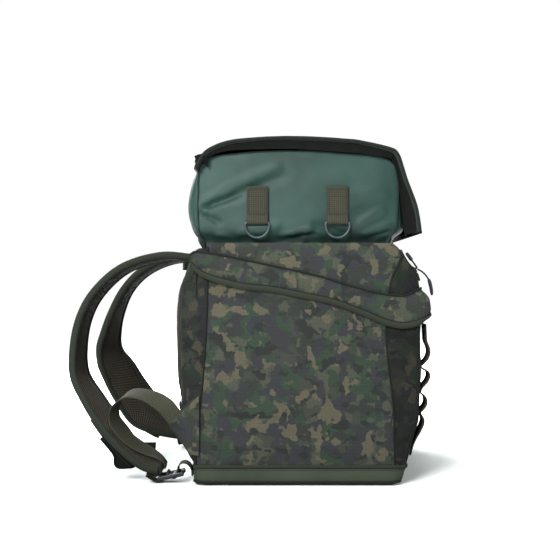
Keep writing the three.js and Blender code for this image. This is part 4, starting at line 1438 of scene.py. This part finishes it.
STRAP_FULL_WIDTH = 0.82           # the share of a strap's length that keeps its full width
STRAP_EDGE = 4.6                  # half the thickness at the bound edge


def strap_frame(side, count):
    """Points, width directions, outward normals and half widths along one strap."""
    route, roll = STRAPS[side]
    keyed = [tuple(p) + (r,) for p, r in zip(route, roll)]
    keyed = smooth_path(keyed, count)
    path, turned = keyed[:, :3], np.radians(keyed[:, 3])
    along = tangents(path)
    inward = unit(np.cross(along, np.array([0.0, 1.0, 0.0])))
    across = np.array([0.0, 1.0, 0.0]) * np.cos(turned)[:, None] + inward * np.sin(turned)[:, None]
    across = unit(across - along * np.sum(across * along, axis=1, keepdims=True))
    normal = np.cross(across, along)
    share = np.linspace(0, 1, count)
    taper = np.clip((share - STRAP_FULL_WIDTH) / (1 - STRAP_FULL_WIDTH), 0, 1)
    half = (STRAP_WIDTH + (STRAP_END_WIDTH - STRAP_WIDTH) * taper) / 2
    return path, across, normal, half


def strap_face(side, towards, height, seed):
    """One padded face of a strap: crowned between its bound edges."""
    path, across, normal, half = strap_frame(side, 130)
    shares = np.linspace(-1, 1, 17)
    columns = []
    for w in shares:
        rise = STRAP_EDGE * 0.35 + (height - STRAP_EDGE * 0.35) * (1 - abs(w) ** 3.2)
        columns.append(path + across * (w * (half - 1.5))[:, None] + normal * towards * rise)
    grid = np.array(columns).transpose(1, 0, 2)
    lift = 0.55 * ripple(grid, 26, seed) + 0.2 * ripple(grid, 9, seed + 1, 1)
    grid = grid + normal[:, None] * (towards * lift)[..., None]
    return cloth(grid, 2.4, outward=facing(grid, normal[:, None] * towards))


def strap_edges(side):
    path, across, normal, half = strap_frame(side, 130)
    edges, thread = [], []
    for w in (-1, 1):
        middle = path + across * (w * (half - 1.2))[:, None]
        line = middle + across * (0.35 * ripple(middle, 16, 83, 1))[:, None]
        edge = tube(line, STRAP_EDGE + 0.9, 10, normal[0], 1.0)
        flatten_edge(edge, middle, across, 0.72)
        edges.append(edge)
        inner = path + across * (w * (half - 6.2))[:, None]
        thread += stitches(inner + normal * 4.6, normal)
    reach = np.linspace(-1, 1, 12)[:, None] * (half[-1] - 1.0)
    edges.append(tube(path[-1] + across[-1] * reach, STRAP_EDGE + 1.4, 10, normal[-1]))
    return edges, thread


def flatten_edge(part, line, across, share):
    """Flattens a round tube in one direction, to the section of a folded binding."""
    sides = len(part.vertices) // len(line)
    centres = np.repeat(line, sides, axis=0)
    direction = np.repeat(across, sides, axis=0)
    offset = np.sum((part.vertices - centres) * direction, axis=1, keepdims=True)
    part.vertices = part.vertices - direction * offset * (1 - share)


def strap_patch(side):
    """The dark reinforcement sewn outside a strap's lower end."""
    path, across, normal, half = strap_frame(side, 130)
    start, end = 98, 121
    line = path[start:end] + normal[start:end] * 7.4
    return tape(line, across[start:end], 2 * half[start] * 0.9, 3.0, normal[start:end])


# The dark folded tab under the left strap's lower end, and the small square tab beside it.
STRAP_TAB = [
    (-283, 63), (-272, 50), (-263.5, 38), (-262.5, 26), (-258, 21.5), (-246, 21), (-235, 23), (-231, 29),
]
STRAP_TAB_WIDTH = 30
SQUARE_TAB = [(-137, 31), (-131, 38), (-125, 45), (-121, 51)]
SQUARE_TAB_X = -219.5
SQUARE_TAB_WIDTH = 22


def strap_tabs():
    folded = smooth_path([(x, -146, z) for x, z in STRAP_TAB], 50)
    square = smooth_path([(SQUARE_TAB_X, y, z) for y, z in SQUARE_TAB], 16)
    chord = folded[0] + (folded[-1] - folded[0]) * np.linspace(0, 1, len(folded))[:, None]
    parts = [tape(folded, (0, 1, 0), STRAP_TAB_WIDTH, 2.6), tape(square, (1, 0, 0), SQUARE_TAB_WIDTH, 2.6)]
    for side in (-1, 1):
        edge = np.array([0, side * (STRAP_TAB_WIDTH / 2 - 2), 0])
        rows = np.linspace(0, 1, 8)[:, None, None]
        grid = (folded * (1 - rows) + chord * rows + edge).transpose(1, 0, 2)
        parts.append(cloth(grid, 1.4, outward=facing(grid, (0, side, 0))))
    return parts


def make_straps():
    build("left_strap_tabs", strap_tabs(), LINING, "left_strap", ())
    for side, _ in SIDES:
        body = f"{side}_strap"
        cover = build(f"{side}_strap_cloth", [strap_face(side, 1, 6.0, 81)], STRAP, body,
                      [f"{side}_strap_cover", f"{side}_strap_foam"])
        build(f"{side}_strap_lining", [strap_face(side, -1, 6.0, 86)], MESH, body,
              [f"{side}_strap_mesh"])
        edges, thread = strap_edges(side)
        build(f"{side}_strap_binding", edges, STRAP_BINDING, body, ())
        build(f"{side}_strap_stitching", thread, THREAD, body, ())
        build(f"{side}_strap_patch", [strap_patch(side)], LINING, body, ())


# ------------------------------------------------------------------ adjusters and ladder locks

LOCK_TILTS = {"left": 12, "right": 2}
LOCK_LENGTH = 38
LOCK_HALF_WIDTH = 16.6
ADJUSTERS = {
    "left": [
        ((-177.3, -182.3, 98.4), (-0.753, 0, -0.659)), ((-189, -181, 112), (-0.72, -0.25, -0.65)),
        ((-213, -174, 125), (-0.5, -0.7, -0.5)), ((-242, -163, 127), (-0.42, -0.82, -0.4)),
        ((-261, -157, 111), (-0.45, -0.8, -0.38)), ((-264, -154, 90), (-0.45, -0.8, -0.38)),
        ((-252, -152, 69), (-0.42, -0.82, -0.36)), ((-232, -152, 53), (-0.38, -0.86, -0.33)),
        ((-214, -152, 43.5), (-0.28, -0.93, -0.25)), ((-201, -152, 36.5), (-0.12, -0.98, -0.1)),
        ((-192.5, -152, 29), (0, -1, 0)),
    ],
    "right": [
        ((-177.3, 182.3, 98.4), (-0.753, 0, -0.659)), ((-186, 184.5, 107), (-0.72, 0.25, -0.65)),
        ((-194, 186, 107), (-0.5, 0.7, -0.5)), ((-200, 186, 97), (-0.2, 0.95, -0.2)),
        ((-203.5, 184, 82), (-0.1, 1, -0.1)), ((-202.5, 180, 68), (0, 1, 0)), ((-197.5, 173, 56), (0, 1, 0)),
        ((-190.5, 160, 45), (0, 1, 0)), ((-186.5, 150, 33), (0, 1, 0)),
    ],
}
ADJUSTER_END = {"left": (12.5, 11.5), "right": (11.4, 14.8)}
ROOT_TUCK = 5                       # how far the webbing runs on under the wing that holds it
THREADING = [
    (14.4, 7.0), (15.8, 4.0), (18, 0), (20.3, -3.6), (23.2, -4.4), (26.2, -3.6), (28.5, 0),
]
TAILS = {
    "left": [
        (29.6, 4.6), (31, 9.6), (34.6, 13.4), (39.6, 14.2), (44.6, 11.8), (48, 7), (49.4, 1), (48.6, -6),
    ],
    "right": [(31.5, 4.6), (35, 6.6), (38.5, 5.6), (40.5, 2), (41, -3), (40.5, -9)],
}
LOOP_ROOTS = {                      # where each sewn loop starts, and its width direction there
    "left": ((-218, -152, 12), (0, 1, 0)),
    "right": ((-203.2, 143.1, 27), (-0.07, 0.93, 0.37)),
}
LOOP_TURN = [(-3, 3.8), (2, 4.1), (6, 3.4), (7.6, 0), (6, -3.6), (2, -4.7), (-3, -4.4)]
LOOP_TURN_SHARE = 0.5               # the share of each layer that turns to the lock's direction
WEBBING_WIDTH = 25


def lock_axes(side):
    """A ladder lock's start, its direction along the webbing, and its upward normal."""
    angle = math.radians(LOCK_TILTS[side])
    cos, sin = math.cos(angle), math.sin(angle)
    start = joint_place(f"{side}_lock_tilt") - np.array([2.2, 0, 0])
    return start, np.array([cos, 0, sin]), np.array([-sin, 0, cos])


def lock_place(side, u, w, v=0.0):
    start, along, up = lock_axes(side)
    return start + along * u + up * w + np.array([0, v, 0])


def ladder_lock(side):
    """A moulded ladder lock: two rails, four bars, ribs on its lip."""
    parts = []
    for v in (-LOCK_HALF_WIDTH + 2, LOCK_HALF_WIDTH - 2):
        parts.append(rounded_bar(lock_place(side, 0.3, 0, v), lock_place(side, LOCK_LENGTH - 0.4, 0, v),
                                 (0, 1, 0), 2.1, 3.1))
    for u, half in ((2.2, 2.1), (12.8, 2.1), (23.2, 2.0), (34.6, 3.1)):
        parts.append(rounded_bar(lock_place(side, u, 0, -LOCK_HALF_WIDTH + 2.5),
                                 lock_place(side, u, 0, LOCK_HALF_WIDTH - 2.5), (1, 0, 0.2), half, 2.0))
    for u in (33, 34.8, 36.6):
        parts.append(rounded_bar(lock_place(side, u, 2.0, -10), lock_place(side, u, 2.0, 10),
                                 (1, 0, 0.2), 0.5, 0.7))
    return parts


def adjuster_tape(side, sign):
    free = ADJUSTERS[side]
    root, following = (np.array(p, float) for p, _ in free[:2])
    tucked = root + unit(root - following) * ROOT_TUCK
    points = [tuple(tucked)] + [p for p, _ in free] + [tuple(lock_place(side, *ADJUSTER_END[side]))]
    across = [free[0][1]] + [a for _, a in free] + [(0, sign, 0)]
    keyed = smooth_path([tuple(p) + tuple(a) for p, a in zip(points, across)], 150)
    return tape(keyed[:, :3], keyed[:, 3:], WEBBING_WIDTH, 1.5)


def adjuster_tail(side):
    """The webbing's run under the lock's middle bar and its free tail, hemmed at the end."""
    path = smooth_path([tuple(lock_place(side, u, w)) for u, w in THREADING + TAILS[side]], 110)
    hem = path[-9:-1]
    half = np.array([0, WEBBING_WIDTH / 2 - 0.5, 0])
    folded = tape(hem, (0, 1, 0), WEBBING_WIDTH - 0.4, 2.7)
    ridge = rounded_bar(hem[0] - half, hem[0] + half, (1, 0, 0), 1.6, 1.3)
    return [tape(path, (0, 1, 0), WEBBING_WIDTH, 1.5), folded, ridge]


def lock_loop(side):
    start, turned = (np.array(v, float) for v in LOOP_ROOTS[side])
    along = unit(lock_axes(side)[0] - start)
    up = unit(np.cross(along, np.array([0, 1.0, 0])))
    points = [start + up * 1.6] + [lock_place(side, u, w) for u, w in LOOP_TURN] + [start - up * 1.6]
    path = smooth_path(points, 60)
    near_root = np.abs(2 * np.linspace(0, 1, len(path)) - 1) - 1 + LOOP_TURN_SHARE
    near_root = np.clip(near_root / LOOP_TURN_SHARE, 0, 1)[:, None]
    across = np.array([0, 1.0, 0]) * (1 - near_root) + turned * near_root
    return tape(path, unit(across), WEBBING_WIDTH, 1.3)


LOWER_WING = [(-141, 127), (-145, 124.5), (-185, 89.5), (-153.5, 44), (-141, 42)]
WING_BEND = 0.35                    # the share of the wing's run at which its lower edge bends


def lower_wing(sign):
    """The camouflage triangle sewn into the back seam, a soft pillow with its tip pointing back."""
    tip = np.array(LOWER_WING[2], float)
    top, foot = np.array(LOWER_WING[0], float), np.array(LOWER_WING[4], float)
    bend = np.array(LOWER_WING[3])
    columns = []
    for f in np.linspace(0, 1, 26):
        upper = top * (1 - f) + (tip + np.array([1.5, 1.5])) * f
        if f < WING_BEND:
            g = f / WING_BEND
            lower = foot * (1 - g) + bend * g
        else:
            g = (f - WING_BEND) / (1 - WING_BEND)
            lower = bend * (1 - g) + (tip + np.array([1.2, -1.8])) * g
        rows = np.linspace(0, 1, 22)
        line = lower[None, :] * (1 - rows[:, None]) + upper[None, :] * rows[:, None]
        away = HALF_WIDTH + 2.2 + 1.4 * np.sin(math.pi * rows) ** 0.6 * (1 - 0.6 * f)
        columns.append(xyz(line[:, 0], sign * away, line[:, 1]))
    grid = np.array(columns)
    grid[..., 1] += sign * (0.6 * ripple(grid, 22, 91))
    return cloth(grid, 2.4, outward=facing(grid, (0, sign, 0)))


def make_adjusters():
    for side, sign in SIDES:
        body = f"{side}_strap"
        webbing = build(f"{side}_adjuster_tape", [adjuster_tape(side, sign)], WEBBING, None,
                        [f"{side}_adjuster_webbing"])
        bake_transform(webbing)
        build(f"{side}_tail_tape", adjuster_tail(side), WEBBING, f"{side}_lock",
              [f"{side}_adjuster_tail"])
        build(f"{side}_loop_tape", [lock_loop(side)], WEBBING, body, [f"{side}_lock_loop"])
        build(f"{side}_lock_frame", ladder_lock(side), PLASTIC, f"{side}_lock",
              [f"{side}_ladder_lock"])
        build(f"{side}_wing_cloth", [lower_wing(sign)], CAMO, "pack", [f"{side}_lower_wing"])
        edging = []
        for start_at, bow, end_at in ((1, (-165, 107), 2), (2, (-169, 66.5), 3)):
            run = smooth_path([LOWER_WING[start_at], bow, LOWER_WING[end_at]], 20)
            line = xz_path(run, sign * (HALF_WIDTH + 2.4))
            edging.append(tube(line, 0.9, 8, (0, 1, 0)))
        build(f"{side}_wing_edging", edging, BINDING, "pack", ())


# ------------------------------------------------------------------ daisy chains and haul handle

DAISY_Y = 148
DAISY_ROUTE = [
    (177.8, 225.5), (178.6, 212), (179.5, 201), (183, 192), (184, 184.5), (181, 176), (175, 169.5),
    (171.5, 166), (175.5, 161.5), (182, 158), (183.8, 152), (181, 144), (175, 137.5), (171.4, 131.5),
    (171.4, 128.5), (176, 124.5), (179.6, 118.5), (179, 111), (174.5, 104.5), (170.7, 100), (173, 95.5),
    (175.4, 90.5), (175, 84.5), (170.5, 74), (164.5, 64), (160, 54), (156.2, 40),
]
DAISY_WIDTH = 36
DAISY_TACKS = [166, 130, 100]


def make_webbing_trim():
    tacks = []
    for side, sign in SIDES:
        y = sign * DAISY_Y
        path = smooth_path([(x, y, z) for x, z in DAISY_ROUTE], 190)
        build(f"{side}_daisy_tape", [tape(path, (0, 1, 0), DAISY_WIDTH, 2.3)], WEBBING, "pack",
              [f"{side}_daisy_chain"])
        for z in DAISY_TACKS:
            x = path[np.argmin(np.abs(path[:, 2] - z)), 0] + 1.1
            for dz in (-1.2, 0, 1.2):
                tacks += stitches([(x, y - 15, z + dz), (x, y, z + dz), (x, y + 15, z + dz)], (1, 0, 0), 2.2)
    handle = smooth_path([(-156.5, -40, 316), (-164, -35, 316), (-175, -24, 316), (-180, 0, 316),
                          (-175, 24, 316), (-164, 35, 316), (-156.5, 40, 316)], 60)
    build("handle_tape", [tape(handle, (0, 0, 1), WEBBING_WIDTH, 2.2)], PIPING, "pack",
          ["haul_handle"])
    build("daisy_bartacks", tacks, THREAD, "pack", ())


# ------------------------------------------------------------------ pocket zip

ZIP_MIDDLE = np.array([161.4, 0, 300.2])
ZIP_DOWN = unit((9.3, 0, -12.6))
ZIP_OUT = unit((12.6, 0, 9.3))
ZIP_TOOTH_PITCH = 2.4
SLIDER_Y = {"left": -146, "right": -132}
PULL_ROUTE = {
    "left": [(168.4, 305.8), (164, 312), (159, 319), (153, 327)],
    "right": [(170.9, 303.9), (179, 299), (187, 289), (190.5, 277), (192, 266)],
}


def make_zip():
    down, out = ZIP_DOWN, ZIP_OUT
    half = node_box("pocket_zip")[1][1]
    tape_path = ZIP_MIDDLE + out * 2.0 + xyz(0, np.linspace(-half, half, 60), 0)
    tape_path[:, 0] += 0.3 * ripple(tape_path, 30, 95, 1)
    build("zip_tape", [tape(tape_path, down, 17, 1.2)], PIPING, "pack", ["pocket_zip"])
    teeth = []
    for k, y in enumerate(np.arange(-half + 3, half - 3, ZIP_TOOTH_PITCH)):
        lean = 1.1 if k % 2 else -1.1
        middle = ZIP_MIDDLE + out * 3.1 + np.array([0, y, 0]) + down * lean
        teeth.append(rounded_bar(middle - down * 1.8, middle + down * 1.8, (0, 1, 0), 0.75, 0.8))
    build("zip_teeth", teeth, PLASTIC, "pack", ())
    for side, _ in SIDES:
        make_slider(side)


def make_slider(side):
    down, out, y = ZIP_DOWN, ZIP_OUT, SLIDER_Y[side]
    middle = ZIP_MIDDLE + np.array([0, y, 0]) + out * 4.4
    body = [rounded_bar(middle - np.array([0, 6, 0]), middle + np.array([0, 6, 0]), down, 4.3, 1.6)]
    bow = ((-4, 1.2), (-3, 3.4), (0, 4.4), (3, 3.4), (4, 1.2))
    bail = [middle + np.array([0, across, 0]) + out * rise for across, rise in bow]
    body.append(tube(smooth_path(bail, 16), 0.9, 8, tuple(down)))
    build(f"{side}_slider_body", body, PLASTIC, f"{side}_slider", [f"{side}_zip_slider"])
    route = smooth_path([(x, y, z) for x, z in PULL_ROUTE[side]], 30)
    cords = [tube(route + np.array([0, dy, 0]), 1.1, 8, (0, 1, 0)) for dy in (-1.3, 1.3)]
    grip = route[14:]
    radii = np.interp(np.linspace(0, 1, len(grip)), [0, 0.15, 0.8, 1], [1.9, 2.7, 2.5, 1.6])
    sleeve = tube(grip, radii, 12, (0, 1, 0))
    build(f"{side}_puller_cord", cords + [sleeve], PLASTIC, f"{side}_puller",
          [f"{side}_zip_puller"])


# ------------------------------------------------------------------ padded back

BACK_PADS = {                       # centre Y, centre Z, half width, half height
    "left_back_pad": (-78, 205, 48, 88),
    "right_back_pad": (78, 205, 48, 88),
    "lumbar_pad": (0, 74, 128, 32),
}
PAD_HEIGHT = 9


def back_pad(y0, z0, half_width, half_height):
    """A mesh-covered pad on the back: crowned, its edges sewn down to the bag."""
    columns = []
    rows = np.linspace(-1, 1, 40)
    for w in np.linspace(-1, 1, 30):
        limit = (1 - abs(w) ** 6) ** (1 / 6) if abs(w) < 1 else 0.55
        z = z0 + rows * half_height * max(limit, 0.55)
        face = smooth_value(BACK_FACE, z)
        rise = PAD_HEIGHT * (1 - abs(w) ** 3.4) ** 0.7 * (1 - np.abs(rows) ** 5) ** 0.7
        columns.append(xyz(face - 0.8 - rise, y0 + w * half_width, z))
    grid = np.array(columns)
    grid[..., 0] -= 0.5 * ripple(grid, 20, 97)
    return cloth(grid, 2.0, outward=facing(grid, (-1, 0, 0)))


def make_back():
    for name, size in BACK_PADS.items():
        pad = build(name, [back_pad(*size)], MESH, "pack", ())
    cords = []
    angles = np.linspace(0, 2 * math.pi, 64, endpoint=False)
    for y0, z0, half_width, half_height in BACK_PADS.values():
        y = y0 + squared(np.cos(angles), 0.35) * (half_width + 1)
        z = z0 + squared(np.sin(angles), 0.35) * (half_height + 1)
        loop = xyz(smooth_value(BACK_FACE, z) - 1.6, y, z)
        cords.append(tube(loop, 1.9, 8, (1, 0, 0), closed=True))
    build("back_pad_binding", cords, STRAP_BINDING, "pack", ())


# ------------------------------------------------------------------ CAD nodes that stay in view


WALL_INSET = 5.0                  # the inner walls stop this far inside the frame's own


def inner_wall(node):
    """The lining of the bag's back or front wall, kept clear of the side cloth."""
    low, high = node_box(node)
    y = np.linspace(low[1] + WALL_INSET, high[1] - WALL_INSET, 60)
    z = np.linspace(low[2], high[2] - 1, 50)
    grid = xyz((low[0] + high[0]) / 2, y[:, None], z)
    grid[..., 0] += 0.5 * ripple(grid, 40, 101)
    return cloth(grid, high[0] - low[0])


def make_walls():
    for name in ("back_panel", "front_panel"):
        build(f"{name}_lining", [inner_wall(name)], LINING, "pack", [name])


def finish_cad_nodes():
    """The base board keeps its own mesh and gets the lining's material."""
    node = frame["nodes"]["base_board"]
    node.data.materials.clear()
    node.data.materials.append(LINING)


make_walls()
make_bag()
make_base()
make_yoke()
make_collar()
make_rings()
make_lid()
make_straps()
make_adjusters()
make_webbing_trim()
make_zip()
make_back()
finish_cad_nodes()
